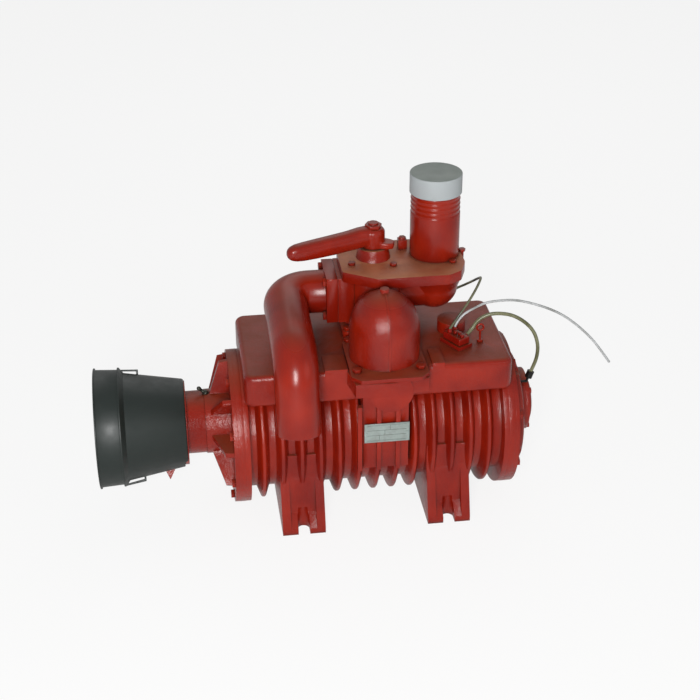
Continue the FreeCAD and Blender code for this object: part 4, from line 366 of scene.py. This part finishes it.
def tube_plastic(name, shade, oil_shade, gloss):
    """Extruded nylon tube: smooth and a little glossy, with oil clouding it from inside."""
    material, tree = new_material(name)
    place = node(tree, "ShaderNodeTexCoord").outputs["Object"]
    oil = node(tree, "ShaderNodeTexNoise", {"Vector": place, "Scale": per(26 * MM), "Detail": 2.0})
    clouds = {"Value": oil.outputs["Fac"], "From Min": 0.38, "From Max": 0.64}
    share = node(tree, "ShaderNodeMapRange", clouds)
    base = node(
        tree, "ShaderNodeMix", {0: share.outputs[0], 6: tuple(shade), 7: linear(oil_shade)}, data_type="RGBA"
    )
    ripple = node(tree, "ShaderNodeTexNoise", {"Vector": place, "Scale": per(3 * MM), "Detail": 2.0})
    bump = node(
        tree, "ShaderNodeBump", {"Height": ripple.outputs["Fac"], "Strength": 0.3, "Distance": 0.05 * MM}
    )
    shader = node(
        tree,
        "ShaderNodeBsdfPrincipled",
        {"Base Color": base.outputs[2], "Roughness": gloss, "Normal": bump.outputs["Normal"]},
    )
    node(tree, "ShaderNodeOutputMaterial", {"Surface": shader.outputs["BSDF"]})
    return material


def dull_aluminium(name, shade):
    """Rolled aluminium sheet gone dull: long faint rolling lines 0.9 mm apart and a few stains."""
    material, tree = new_material(name)
    place = node(tree, "ShaderNodeTexCoord").outputs["Object"]
    squeezed = node(tree, "ShaderNodeMapping", {"Vector": place, "Scale": (0.06, 1, 1)}).outputs["Vector"]
    lines = node(tree, "ShaderNodeTexNoise", {"Vector": squeezed, "Scale": per(0.9 * MM), "Detail": 3.0})
    blot = node(tree, "ShaderNodeTexNoise", {"Vector": place, "Scale": per(9 * MM), "Detail": 4.0})
    stain = node(
        tree,
        "ShaderNodeMapRange",
        {"Value": blot.outputs["Fac"], "From Min": 0.4, "From Max": 0.75, "To Max": 0.4},
    )
    base = node(
        tree, "ShaderNodeMix", {0: stain.outputs[0], 6: tuple(shade), 7: linear("#6E6A62")}, data_type="RGBA"
    )
    rough = node(
        tree,
        "ShaderNodeMapRange",
        {"Value": lines.outputs["Fac"], "From Min": 0.2, "From Max": 0.8, "To Min": 0.4, "To Max": 0.56},
    )
    bump = node(
        tree, "ShaderNodeBump", {"Height": lines.outputs["Fac"], "Strength": 0.3, "Distance": 0.02 * MM}
    )
    shader = node(
        tree,
        "ShaderNodeBsdfPrincipled",
        {
            "Base Color": base.outputs[2],
            "Metallic": 0.3,
            "Roughness": rough.outputs[0],
            "Normal": bump.outputs["Normal"],
        },
    )
    node(tree, "ShaderNodeOutputMaterial", {"Surface": shader.outputs["BSDF"]})
    return material


def scene_settings():
    scene = bpy.context.scene
    return scene.pump_colours, scene.pump_sizes, scene.pump_studio


def add_modifier(obj, name, kind, **settings):
    modifier = obj.modifiers.new(name, kind)
    for key, value in settings.items():
        setattr(modifier, key, value)


def dress(names, material, edge=0.0):
    """Gives CAD nodes their finish and smooth shading, and rounds their edges by the edge's radius."""
    for name in names:
        obj = NODES[name]
        obj.data.materials.clear()
        obj.data.materials.append(material)
        for face in obj.data.polygons:
            face.use_smooth = True
        add_modifier(obj, "Weld", "WELD", merge_threshold=0.002 * MM)
        if edge > 0:
            add_modifier(obj, "Edge", "BEVEL", width=edge, segments=2, angle_limit=ROUND_FROM)
        add_modifier(obj, "Sharp", "EDGE_SPLIT", split_angle=SHARP_FROM, use_edge_sharp=False)


def add_bar(shape, low, high):
    """A straight bar between two corners, added to a bmesh."""
    middle = (Vector(low) + Vector(high)) / 2
    size = Vector(high) - Vector(low)
    bmesh.ops.create_cube(shape, size=1, matrix=Matrix.LocRotScale(middle, None, size))


def add_turned(shape, profile, place, steps, cut=None):
    """A closed ring turned about a line. The profile gives each point's height and radius.

    place makes a point from height, radius and angle. cut changes a height where the ring is cut
    away, from its height and angle.
    """
    rings = []
    for number in range(steps):
        angle = math.tau * number / steps
        rings.append([
            shape.verts.new(place(cut(height, angle) if cut else height, radius, angle))
            for height, radius in profile
        ])
    for ring, after in zip(rings, rings[1:] + rings[:1]):
        for i in range(len(profile)):
            j = (i + 1) % len(profile)
            shape.faces.new((ring[i], ring[j], after[j], after[i]))
    bmesh.ops.remove_doubles(shape, verts=shape.verts, dist=0.001 * MM)
    bmesh.ops.recalc_face_normals(shape, faces=shape.faces)


def mesh_object(name, build, material, body=BODY):
    """A new piece from a function that fills a bmesh. It rides on a body."""
    shape = bmesh.new()
    build(shape)
    mesh = bpy.data.meshes.new(name)
    shape.to_mesh(mesh)
    shape.free()
    for face in mesh.polygons:
        face.use_smooth = True
    obj = bpy.data.objects.new(name, mesh)
    bpy.context.scene.collection.objects.link(obj)
    mesh.materials.append(material)
    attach(obj, body)
    return obj


def tube_object(name, points, diameter, material):
    """A round tube on the casing, along one smooth line with the given control points."""
    curve = bpy.data.curves.new(name, "CURVE")
    curve.dimensions = "3D"
    curve.bevel_depth = diameter / 2
    curve.bevel_resolution = 8
    curve.resolution_u = 12
    curve.use_fill_caps = True
    spline = curve.splines.new("NURBS")
    spline.points.add(len(points) - 1)
    for point, place in zip(spline.points, points):
        point.co = (*place, 1.0)
    spline.order_u = 3
    spline.use_endpoint_u = True
    obj = bpy.data.objects.new(name, curve)
    bpy.context.scene.collection.objects.link(obj)
    curve.materials.append(material)
    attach(obj, BODY)
    return obj


def painted_seam(shape, cover, joint):
    """Thick paint that fills the joint between a cover and the barrel's flange, as a low band.

    joint is the place along the shaft where the cover ends, in millimetres.
    """
    low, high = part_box(cover)
    axis_height = (high.z + low.z) / 2 / MM
    rim = (high.z - low.z) / 2 / MM
    # how far the band stands out of the rim, how far its edges lie under it, and how deep it reaches
    proud, sunk, deep = 0.2, 0.4, 2
    # half of its flat, and its sloping edge
    half, slope = 4.5, 2
    profile = [
        (joint - half - slope, rim - sunk),
        (joint - half, rim + proud),
        (joint + half, rim + proud),
        (joint + half + slope, rim - sunk),
        (joint + half, rim - deep),
        (joint - half, rim - deep),
    ]

    def place(x, radius, angle):
        return Vector((x, radius * math.sin(angle), axis_height + radius * math.cos(angle))) * MM

    add_turned(shape, profile, place, steps=160)


def level_axes(degrees):
    """Unit vectors along a level heading and to its left."""
    angle = math.radians(degrees)
    along = Vector((math.cos(angle), math.sin(angle), 0))
    return along, Vector((-along.y, along.x, 0))


def add_lever_arm(shape, hub):
    """Long arm: a fat bar of oval section that thins and drops towards its tip."""
    along, across = level_axes(197)
    # distance from the hub's axis, height of the middle over the hub's foot, height and width of the section
    stations = [
        (-6, 19, 30, 26),
        (10, 19, 33, 29),
        (25, 18.5, 33, 29),
        (45, 16.5, 32, 28),
        (70, 15, 32, 28),
        (100, 14, 31, 27),
        (122, 13.5, 29.5, 26),
        (135, 13.5, 27, 24),
        (143, 13.5, 22, 20),
        (147.5, 13.5, 15, 14),
        (149.5, 13.5, 6, 6),
    ]
    steps = 28
    # 2 would make each section an ellipse, and a higher power fills its corners
    power = 2.5
    rings = []
    for reach, height, tall, wide in stations:
        ring = []
        for number in range(steps):
            angle = math.tau * number / steps
            side, rise = math.cos(angle), math.sin(angle)
            swell = (abs(side) ** power + abs(rise) ** power) ** (-1 / power)
            spot = hub + along * reach + across * (wide / 2 * side * swell)
            spot.z += height + tall / 2 * rise * swell
            ring.append(shape.verts.new(spot * MM))
        rings.append(ring)
    for ring, after in zip(rings, rings[1:]):
        for i in range(steps):
            j = (i + 1) % steps
            shape.faces.new((ring[i], ring[j], after[j], after[i]))
    shape.faces.new(rings[0][::-1])
    shape.faces.new(rings[-1])


def add_stop_arm(shape, hub):
    """Short flat arm that meets the stop at the end of the lever's turn."""
    along, across = level_axes(-17)
    thick = 10
    # place along the arm and to its left
    corners = [(0, -15), (26, -13), (34, -9), (34, 5), (26, 10), (0, 15)]
    low, high = [
        [shape.verts.new((hub + along * x + across * y + Vector((0, 0, z))) * MM) for x, y in corners]
        for z in (0, thick)
    ]
    shape.faces.new(low[::-1])
    shape.faces.new(high)
    for i in range(len(corners)):
        j = (i + 1) % len(corners)
        shape.faces.new((low[i], low[j], high[j], high[i]))


def cast_lever(shape):
    """Blank of the reversing lever: its arm, its hub and its stop arm, which the remesh then joins."""
    hub = joint_place("lever_turn")
    hub_r, hub_height, shoulder, shoulder_drop = 19, 32, 4, 5
    profile = [
        (0, NEAR_AXIS),
        (0, hub_r),
        (hub_height - shoulder_drop, hub_r),
        (hub_height, hub_r - shoulder),
        (hub_height, NEAR_AXIS),
    ]

    def place(height, radius, angle):
        return (hub + Vector((radius * math.cos(angle), radius * math.sin(angle), height))) * MM

    add_lever_arm(shape, hub)
    add_turned(shape, profile, place, steps=48)
    add_stop_arm(shape, hub)
    bmesh.ops.recalc_face_normals(shape, faces=shape.faces)


def drive_guard(shape):
    """Bell of the drive guard: a cone with a stepped mouth, a skirt over the disc, and two loops."""
    low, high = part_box("pto_guard")
    mouth, back = low.x / MM, high.x / MM
    axis_height = joint_place("rotor_spin").z
    wall, skirt, lip = 3, 5, 2.5
    hole_r, disc_r, skirt_r = 54, 69.5, 71
    cone_root_r, cone_back_r, cone_front_r = 73, 72.2, 88
    step_r, band_back_r, band_front_r, lip_r = 97.5, 94, 96, 98.7
    # how far behind the mouth the cone ends and the step's rim stands, and where the inner face bends
    cone_end, step_back, step_front = 48, 41, 38.5
    inner_cone_end, inner_band_back = 46.8, 39.7
    # place along the shaft and radius: the outside from the back to the mouth, then the inside
    profile = [
        (back, hole_r),
        (back, disc_r),
        (back + skirt, disc_r),
        (back + skirt, skirt_r),
        (back + wall, cone_back_r),
        (mouth + cone_end, cone_front_r),
        (mouth + step_back, step_r),
        (mouth + step_front, step_r),
        (mouth + step_front, band_back_r),
        (mouth + lip, band_front_r),
        (mouth + lip, lip_r),
        (mouth, lip_r),
        (mouth, band_front_r - wall),
        (mouth + inner_band_back, band_back_r - wall),
        (mouth + inner_cone_end, cone_front_r - wall),
        (back - wall, cone_root_r - wall),
        (back - wall, hole_r),
    ]
    # the skirt is cut away below, where the bracket's ear comes out
    open_middle = math.radians(154)
    open_half = math.radians(34)

    def place(x, radius, angle):
        return Vector((x, -radius * math.sin(angle), axis_height + radius * math.cos(angle))) * MM

    def cut(x, angle):
        return min(x, back) if abs(angle - open_middle) < open_half else x

    add_turned(shape, profile, place, steps=120, cut=cut)
    bar, wide = 3, 13
    # angle round the shaft, both legs' places behind the mouth, their reach, and the radius of their feet
    loops = ((-29, 44, 72, 93.5, 92, 84), (151, 38, 74, 97, 91, 82))
    for turn, front_leg, back_leg, front_r, back_r, foot_r in loops:
        angle = math.radians(turn)
        near, far = mouth + front_leg, mouth + back_leg
        outline = [
            (near, foot_r),
            (near, front_r),
            (far, back_r),
            (far, foot_r),
            (far - bar, foot_r),
            (far - bar, back_r - bar),
            (near + bar, front_r - bar),
            (near + bar, foot_r),
        ]
        sides = []
        for side in (-wide / 2, wide / 2):
            across = Vector((0, math.cos(angle), math.sin(angle))) * side * MM
            sides.append([shape.verts.new(place(x, radius, angle) + across) for x, radius in outline])
        count = len(outline)
        for a, b, c, d in ((0, 1, 6, 7), (1, 2, 5, 6), (2, 3, 4, 5)):
            shape.faces.new([sides[0][i] for i in (a, b, c, d)])
            shape.faces.new([sides[1][i] for i in (d, c, b, a)])
        for i in range(count):
            j = (i + 1) % count
            shape.faces.new((sides[0][i], sides[0][j], sides[1][j], sides[1][i]))
    bmesh.ops.recalc_face_normals(shape, faces=shape.faces)


def greased_nipple(shape):
    """Angled grease nipple: a hexagon, a neck and a ball, on the hub of the front cover."""
    low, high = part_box("grease_nipple")
    straight_tip = Vector(((low.x + high.x) / 2, 0, high.z)) / MM
    foot_from_tip = Vector((1, 0, -10.4))
    foot = (straight_tip + foot_from_tip) * MM
    # it leans towards the guard
    along = Vector((-0.73, 0, 0.68)).normalized()
    side = Vector((0, 1, 0))
    other = along.cross(side)
    nut_top, neck_top, ball_low, ball_high, tip = 6, 13, 15, 18, 20
    nut_r, neck_r, neck_top_r, ball_r, tip_r = 5, 3, 2.4, 3.4, 1.8
    profile = [
        (0, NEAR_AXIS),
        (0, nut_r),
        (nut_top, nut_r),
        (nut_top, neck_r),
        (neck_top, neck_top_r),
        (ball_low, ball_r),
        (ball_high, ball_r),
        (tip, tip_r),
        (tip, NEAR_AXIS),
    ]

    def place(height, radius, angle):
        spread = side * math.cos(angle) + other * math.sin(angle)
        return foot + (along * height + spread * radius) * MM

    add_turned(shape, profile, place, steps=12)


def plate_rim(shape, width):
    """Pressed rim round the nameplate's face."""
    low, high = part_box("nameplate")
    face, rise = low.y, width / 4
    outer = [(low.x, low.z), (high.x, low.z), (high.x, high.z), (low.x, high.z)]
    inner = [
        (low.x + width, low.z + width),
        (high.x - width, low.z + width),
        (high.x - width, high.z - width),
        (low.x + width, high.z - width),
    ]
    back, front = [[shape.verts.new((x, y, z)) for x, z in outer] for y in (face, face - rise)]
    inner_front, inner_back = [[shape.verts.new((x, y, z)) for x, z in inner] for y in (face - rise, face)]
    loops = [back, front, inner_front, inner_back, back]
    for near, far in zip(loops, loops[1:]):
        for i in range(4):
            j = (i + 1) % 4
            shape.faces.new((near[i], near[j], far[j], far[i]))
    bmesh.ops.recalc_face_normals(shape, faces=shape.faces)


def ruled_fields(shape, rim):
    """Empty ruled fields on the nameplate: four lines across, and a divider in each row."""
    low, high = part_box("nameplate")
    thick = 0.5 * MM
    front, back = low.y - thick / 4, low.y
    left, right = low.x + 3 * rim, high.x - 3 * rim
    rows = 3
    row = (high.z - low.z - 4 * rim) / rows
    first_divider, divider_step = 0.3, 0.14
    for number in range(rows + 1):
        z = low.z + 2 * rim + number * row
        add_bar(shape, (left, front, z), (right, back, z + thick))
        if number < rows:
            x = left + (right - left) * (first_divider + divider_step * number)
            add_bar(shape, (x, front, z), (x + thick, back, z + row))


class PUMP_OT_castings(bpy.types.Operator):
    """Enamelled castings, covers, valve, dome, elbow and all painted fasteners"""

    bl_idname = "pump.castings"
    bl_label = "Castings"

    def execute(self, context):
        colours, sizes, _ = scene_settings()
        red = tuple(colours.enamel)
        iron = {"grain": 2.4 * MM, "depth": 1.2 * MM, "gloss": 0.26}
        pipe = {"grain": 4.0 * MM, "depth": 0.2 * MM, "gloss": 0.25}
        # thick enamel on sand-cast iron: a warm red over a soft, rounded grain
        cast = red_enamel("Enamel on sand-cast iron", red, colours, sizes, dust_and_sheen=0.85, **iron)
        # the same enamel on drawn steel: smoother, with a cleaner highlight
        smooth = red_enamel("Enamel on steel pipe", red, colours, sizes, dust_and_sheen=0.5, **pipe)
        dress(["housing", "rear_cover", "rear_bearing_cap"], cast, sizes.cast_edge)
        dress(["front_cover", "guard_bracket"], cast, sizes.cast_edge / 2)
        dress(["valve_body", "check_valve_dome", "stop_lug"], cast, sizes.cast_edge)
        # painted light and dust: the valve's level plate gets a paler brown film on its top, lighter to make
        # up for the spigot's shadow, so it looks browner and paler than the rest
        plate_enamel = red_enamel(
            "Enamel under dust", red, colours, sizes, dust_and_sheen=1.0, top_colour=colours.dust_and_sheen, **iron
        )
        dress(["valve_top_plate"], plate_enamel, sizes.cast_edge)
        for cover, side in (("front_cover", 1), ("rear_cover", 0)):
            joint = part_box(cover)[side].x / MM
            mesh_object(cover + "_seam_paint", lambda shape: painted_seam(shape, cover, joint), cast)
        dress(["outlet_elbow", "hose_spigot", "flow_diverter"], smooth, sizes.cut_edge * 2)
        bolts = ["cover_bolts", "bearing_cap_bolts", "bracket_bolts", "flange_bolts", "valve_top_bolts"]
        dress(bolts + ["lever_nut", "drain_plug", "dipstick"], smooth, sizes.cut_edge)
        dress(["cover_gaskets", "valve_gaskets"], smooth)
        lever = mesh_object("cast_lever", cast_lever, smooth, body="lever")
        add_modifier(lever, "Blend", "REMESH", mode="VOXEL", voxel_size=1.3 * MM, use_smooth_shade=True)
        add_modifier(lever, "Soften", "SMOOTH", factor=0.5, iterations=10)
        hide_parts("reversing_lever")
        # zinc plating under old grease: a dark, dull metal
        dull = plain_finish(
            "Zinc-plated steel, dull with grease",
            "#4A4C44",
            "#2E2E28",
            metallic=0.7,
            gloss=0.4,
            grain=1.2 * MM,
        )
        nipple = mesh_object("angled_nipple", greased_nipple, dull)
        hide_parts("grease_nipple")
        return {"FINISHED"}


class PUMP_OT_running_gear(bpy.types.Operator):
    """Shaft, rotor, vanes, bearings, seal and ball"""

    bl_idname = "pump.running_gear"
    bl_label = "Running gear"

    def execute(self, context):
        _, sizes, _ = scene_settings()
        # turned steel under oil: grey, with fine rings that catch the light
        steel = turned_steel("Turned and oiled steel", "#8C8B88", gloss=0.28, pitch=1.2 * MM)
        dress(["drive_shaft", "ball_seat", "guard_screws"], steel, sizes.cut_edge)
        # hardened and ground steel: brighter than turned steel, and nearer to a mirror
        ground = turned_steel("Ground bearing steel", "#B9BABC", gloss=0.16, pitch=0.9 * MM)
        for end in ("front_bearing_", "rear_bearing_"):
            dress([end + part for part in ("outer_ring", "inner_ring", "rollers")], ground, sizes.cut_edge)
        # machined brass: a warm yellow metal with darker blotches
        brass = plain_finish(
            "Machined brass", "#B08B3E", "#8A6A2C", metallic=1.0, gloss=0.3, grain=1.0 * MM
        )
        dress(["front_bearing_cage", "rear_bearing_cage"], brass)
        # machined cast iron: a dull dark grey, mottled by its graphite
        iron = plain_finish(
            "Machined cast iron", "#6C6B69", "#4A4948", metallic=0.9, gloss=0.42, grain=0.8 * MM
        )
        dress(["rotor_core"], iron, sizes.cut_edge)
        # cloth laminate in resin: brown and matt
        resin = plain_finish(
            "Fibre laminate", "#6A4A2C", "#4E3520", metallic=0.0, gloss=0.5, grain=0.7 * MM
        )
        dress([f"vane_{i}" for i in range(1, 8)], resin)
        # nitrile rubber: black and matt
        rubber = plain_finish(
            "Nitrile rubber", "#1C1C1C", "#262524", metallic=0.0, gloss=0.6, grain=0.6 * MM
        )
        dress(["shaft_seal", "check_ball"], rubber)
        return {"FINISHED"}


class PUMP_OT_guard(bpy.types.Operator):
    """Moulded guard over the splined shaft, and the cap on the hose spigot"""

    bl_idname = "pump.guard"
    bl_label = "Guard and cap"

    def execute(self, context):
        colours, sizes, _ = scene_settings()
        # black polyethylene: waxy, with a broad soft highlight along the cone
        black = moulded_plastic(
            "Moulded guard plastic", colours.guard, colours.guard, gloss=0.46, grain=1.4 * MM
        )
        bell = mesh_object("drive_guard", drive_guard, black)
        add_modifier(bell, "Edge", "BEVEL", width=sizes.cut_edge, segments=2, angle_limit=math.radians(40))
        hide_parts("pto_guard")
        # pale grey polyethylene, its top painted darker as shade
        grey = moulded_plastic(
            "Polyethylene cap", colours.cap_side, colours.shaded_cap_top, gloss=0.5, grain=2.0 * MM
        )
        dress(["spigot_cap"], grey, sizes.cut_edge)
        return {"FINISHED"}


class PUMP_OT_lubricator(bpy.types.Operator):
    """Oil dripper with its screws and fittings"""

    bl_idname = "pump.lubricator"
    bl_label = "Lubricator"

    def execute(self, context):
        colours, sizes, _ = scene_settings()
        oily = {"grain": 3.0 * MM, "depth": 0.3 * MM, "gloss": 0.14}
        # enamel wet with oil: a deeper red with sharp glints
        wet = red_enamel("Enamel wet with oil", tuple(colours.wet), colours, sizes, dust_and_sheen=0.6, **oily)
        dress(["lubricator", "oil_fittings"], wet, sizes.cast_edge / 2)
        dress(["drip_screw_1", "drip_screw_2", "drip_screw_3"], wet, sizes.cut_edge)
        # blackened steel: near black, with a faint metal glint
        black = plain_finish(
            "Blackened union", "#1A1A1A", "#242321", metallic=0.6, gloss=0.35, grain=1.0 * MM
        )
        dress(["rear_oil_fitting"], black)
        return {"FINISHED"}


# control points of each tube's middle, in millimetres
TUBE_ROUTES = {
    "oil_tube_a": [
        (144, 67.6, 318.6),
        (160, 74, 324),
        (180, 60, 340),
        (191, 27, 366),
        (189, 6, 376),
        (178, -11, 366),
        (160, -28, 348),
        (143, -38, 330),
        (131, -36.94, 310),
    ],
    "oil_tube_b": [
        (140, -31.74, 310),
        (144, -29.74, 318),
        (156, -26, 330),
        (176, -24, 339),
        (190, -21, 344),
        (214, -20, 346),
        (244, -20, 345),
        (285, -20, 331),
        (317, -20, 315),
        (344, -20, 294),
        (372, -20, 266),
        (390, -20, 242),
        (407, -20, 217),
    ],
    "oil_tube_c": [
        (158.09, -37.46, 297),
        (167.09, -32.46, 302),
        (177, -30, 318),
        (193, -31, 328),
        (211, -33, 330),
        (234, -33, 325),
        (256, -32, 310),
        (272, -32, 291),
        (280, -31, 266),
        (280, -30, 245),
        (276, -30, 229),
        (271, -29.5, 216),
    ],
}


class PUMP_OT_oil_tubes(bpy.types.Operator):
    """The three lubricating tubes"""

    bl_idname = "pump.oil_tubes"
    bl_label = "Oil tubes"

    def execute(self, context):
        colours, sizes, _ = scene_settings()
        thin, thick = sizes.thin_tube, sizes.rear_tube
        # first word of its name, node it stands for, diameter, far end, finish, colour, colour of its oil
        tubes = (
            ("kinked", "oil_tube_a", thin, "object", "Black nylon tube", colours.black_tube, "#6A6A50"),
            ("bare", "oil_tube_b", thin, "bare", "Grey nylon tube", colours.grey_tube, "#8E8F8D"),
            ("rear", "oil_tube_c", thick, "object", "Olive nylon tube", colours.olive_tube, "#5A5A3C"),
        )
        for word, cad, diameter, far_end, finish, shade, oil in tubes:
            points = [tuple(c * MM for c in spot) for spot in TUBE_ROUTES[cad]]
            material = tube_plastic(finish, shade, oil, gloss=0.3)
            tube = tube_object(word + "_oil_tube", points, diameter, material)
            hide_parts(cad)
        return {"FINISHED"}


class PUMP_OT_nameplate(bpy.types.Operator):
    """Nameplate without print: a pressed rim, empty ruled fields, and its rivets"""

    bl_idname = "pump.nameplate"
    bl_label = "Nameplate"

    def execute(self, context):
        colours, sizes, _ = scene_settings()
        sheet = dull_aluminium("Dull aluminium sheet", colours.plate)
        dress(["nameplate", "nameplate_rivets"], sheet)
        rim = sizes.plate_rim
        mesh_object("nameplate_rim", lambda shape: plate_rim(shape, rim), sheet)
        # etched lines filled with grey-green ink: flat and matt
        ink = plain_finish(
            "Etched plate ink", "#4B5350", "#5A625E", metallic=0.0, gloss=0.5, grain=0.6 * MM
        )
        mesh_object("nameplate_fields", lambda shape: ruled_fields(shape, rim), ink)
        return {"FINISHED"}


def add_camera(scene, studio):
    """Camera at the photograph's viewing angle."""
    azimuth, elevation = studio.azimuth, studio.elevation
    back = Vector((
        math.sin(azimuth) * math.cos(elevation),
        -math.cos(azimuth) * math.cos(elevation),
        math.sin(elevation),
    ))
    right = Vector((math.cos(azimuth), math.sin(azimuth), 0))
    up = back.cross(right)
    turn = Matrix.Rotation(-studio.roll, 3, back)
    right, up = turn @ right, turn @ up
    aim = Vector((0, 0, studio.aim_height))
    place = aim + back * studio.distance + right * studio.aim_right + up * studio.aim_up
    matrix = Matrix((right, up, back)).transposed().to_4x4()
    matrix.translation = place
    lens = bpy.data.cameras.new("Camera")
    lens.lens = studio.lens
    lens.sensor_width = 36
    lens.sensor_fit = "HORIZONTAL"
    lens.clip_end = 50
    camera = bpy.data.objects.new("Camera", lens)
    camera.matrix_world = matrix
    scene.collection.objects.link(camera)
    scene.camera = camera


def seen_share(tree, studio):
    """How far a ray sees the white surroundings: the camera and glass wholly, glossy faces in part."""
    path = node(tree, "ShaderNodeLightPath").outputs
    glossy = node(tree, "ShaderNodeMath", {0: path["Is Glossy Ray"], 1: studio.glossy}, operation="MULTIPLY")
    rays = {0: path["Is Camera Ray"], 1: path["Is Transmission Ray"]}
    direct = node(tree, "ShaderNodeMath", rays, operation="MAXIMUM")
    shares = {0: direct.outputs[0], 1: glossy.outputs[0]}
    return node(tree, "ShaderNodeMath", shares, operation="MAXIMUM").outputs[0]


def add_floor(studio):
    """White paper. The camera sees it near white, glossy faces in part, and it keeps the pump's shadow."""
    material, tree = new_material("White studio paper")
    place = node(tree, "ShaderNodeTexCoord").outputs["Object"]
    fibre = node(tree, "ShaderNodeTexNoise", {"Vector": place, "Scale": per(900 * MM), "Detail": 2.0})
    base = node(
        tree,
        "ShaderNodeMix",
        {0: fibre.outputs["Fac"], 6: linear("#F4F4F2"), 7: linear("#F7F7F6")},
        data_type="RGBA",
    )
    paper = node(tree, "ShaderNodeBsdfPrincipled", {"Base Color": base.outputs[2], "Roughness": 0.9})
    seen = seen_share(tree, studio)
    share = node(tree, "ShaderNodeMath", {0: seen, 1: studio.floor_glow}, operation="MULTIPLY")
    glow = node(tree, "ShaderNodeEmission", {"Color": linear("#FFFFFF"), "Strength": 1.0})
    both = node(tree, "ShaderNodeMixShader", {0: share.outputs[0], 1: paper.outputs[0], 2: glow.outputs[0]})
    node(tree, "ShaderNodeOutputMaterial", {"Surface": both.outputs[0]})
    half = studio.floor / 2
    mesh = bpy.data.meshes.new("Floor")
    corners = [(-half, -half, 0), (half, -half, 0), (half, half, 0), (-half, half, 0)]
    mesh.from_pydata(corners, [], [(0, 1, 2, 3)])
    mesh.materials.append(material)
    floor = bpy.data.objects.new("Floor", mesh)
    bpy.context.scene.collection.objects.link(floor)


def add_lamp(name, place, width, height, power, studio):
    """A soft box that faces the middle of the pump."""
    light = bpy.data.lights.new(name, "AREA")
    light.shape = "RECTANGLE"
    light.size = width
    light.size_y = height
    light.energy = power
    lamp = bpy.data.objects.new(name, light)
    lamp.location = place
    aim = Vector((0, 0, studio.aim_height)) - Vector(place)
    lamp.rotation_euler = aim.to_track_quat("-Z", "Y").to_euler()
    bpy.context.scene.collection.objects.link(lamp)


def add_world(studio):
    """Even pale light all round. Where the camera looks past the floor it is white."""
    world = bpy.data.worlds.new("Studio")
    world.use_nodes = True
    bpy.context.scene.world = world
    tree = world.node_tree
    tree.nodes.clear()
    seen = seen_share(tree, studio)
    strength = node(tree, "ShaderNodeMapRange", {"Value": seen, "To Min": studio.world_level, "To Max": 1.0})
    shade = node(tree, "ShaderNodeBackground", {"Color": linear("#FFFFFF"), "Strength": strength.outputs[0]})
    node(tree, "ShaderNodeOutputWorld", {"Surface": shade.outputs["Background"]})


class PUMP_OT_studio(bpy.types.Operator):
    """Pale floor, soft light and the camera"""

    bl_idname = "pump.studio"
    bl_label = "Studio"

    def execute(self, context):
        _, _, studio = scene_settings()
        scene = context.scene
        scene.view_settings.view_transform = "Standard"
        add_camera(scene, studio)
        add_floor(studio)
        # place, width and height in metres, and power
        add_lamp("Key", (-0.5, -2.3, 1.2), 0.55, 0.95, studio.key_power, studio)
        add_lamp("Fill", (1.9, -1.5, 1.3), 1.2, 1.2, studio.fill_power, studio)
        add_lamp("Back", (0.4, 1.9, 1.9), 1.4, 1.4, studio.rim_power, studio)
        add_world(studio)
        return {"FINISHED"}


OPERATORS = (
    PUMP_OT_studio,
    PUMP_OT_oil_tubes,
    PUMP_OT_castings,
    PUMP_OT_running_gear,
    PUMP_OT_guard,
    PUMP_OT_lubricator,
    PUMP_OT_nameplate,
)


class PUMP_PT_panel(bpy.types.Panel):
    """Sidebar panel with a button for each group of pieces"""

    bl_idname = "PUMP_PT_panel"
    bl_label = "Vacuum pump"
    bl_space_type = "VIEW_3D"
    bl_region_type = "UI"
    bl_category = "Pump"

    def draw(self, context):
        for operator in OPERATORS:
            self.layout.operator(operator.bl_idname)


CLASSES = (PumpColours, PumpSizes, PumpStudio) + OPERATORS + (PUMP_PT_panel,)


def register():
    for cls in CLASSES:
        bpy.utils.register_class(cls)
    bpy.types.Scene.pump_colours = PointerProperty(type=PumpColours)
    bpy.types.Scene.pump_sizes = PointerProperty(type=PumpSizes)
    bpy.types.Scene.pump_studio = PointerProperty(type=PumpStudio)


def unregister():
    del bpy.types.Scene.pump_studio
    del bpy.types.Scene.pump_sizes
    del bpy.types.Scene.pump_colours
    for cls in reversed(CLASSES):
        bpy.utils.unregister_class(cls)


def main():
    register()
    for operator in OPERATORS:
        group, name = operator.bl_idname.split(".")
        getattr(getattr(bpy.ops, group), name)()


if __name__ == "__main__":
    main()
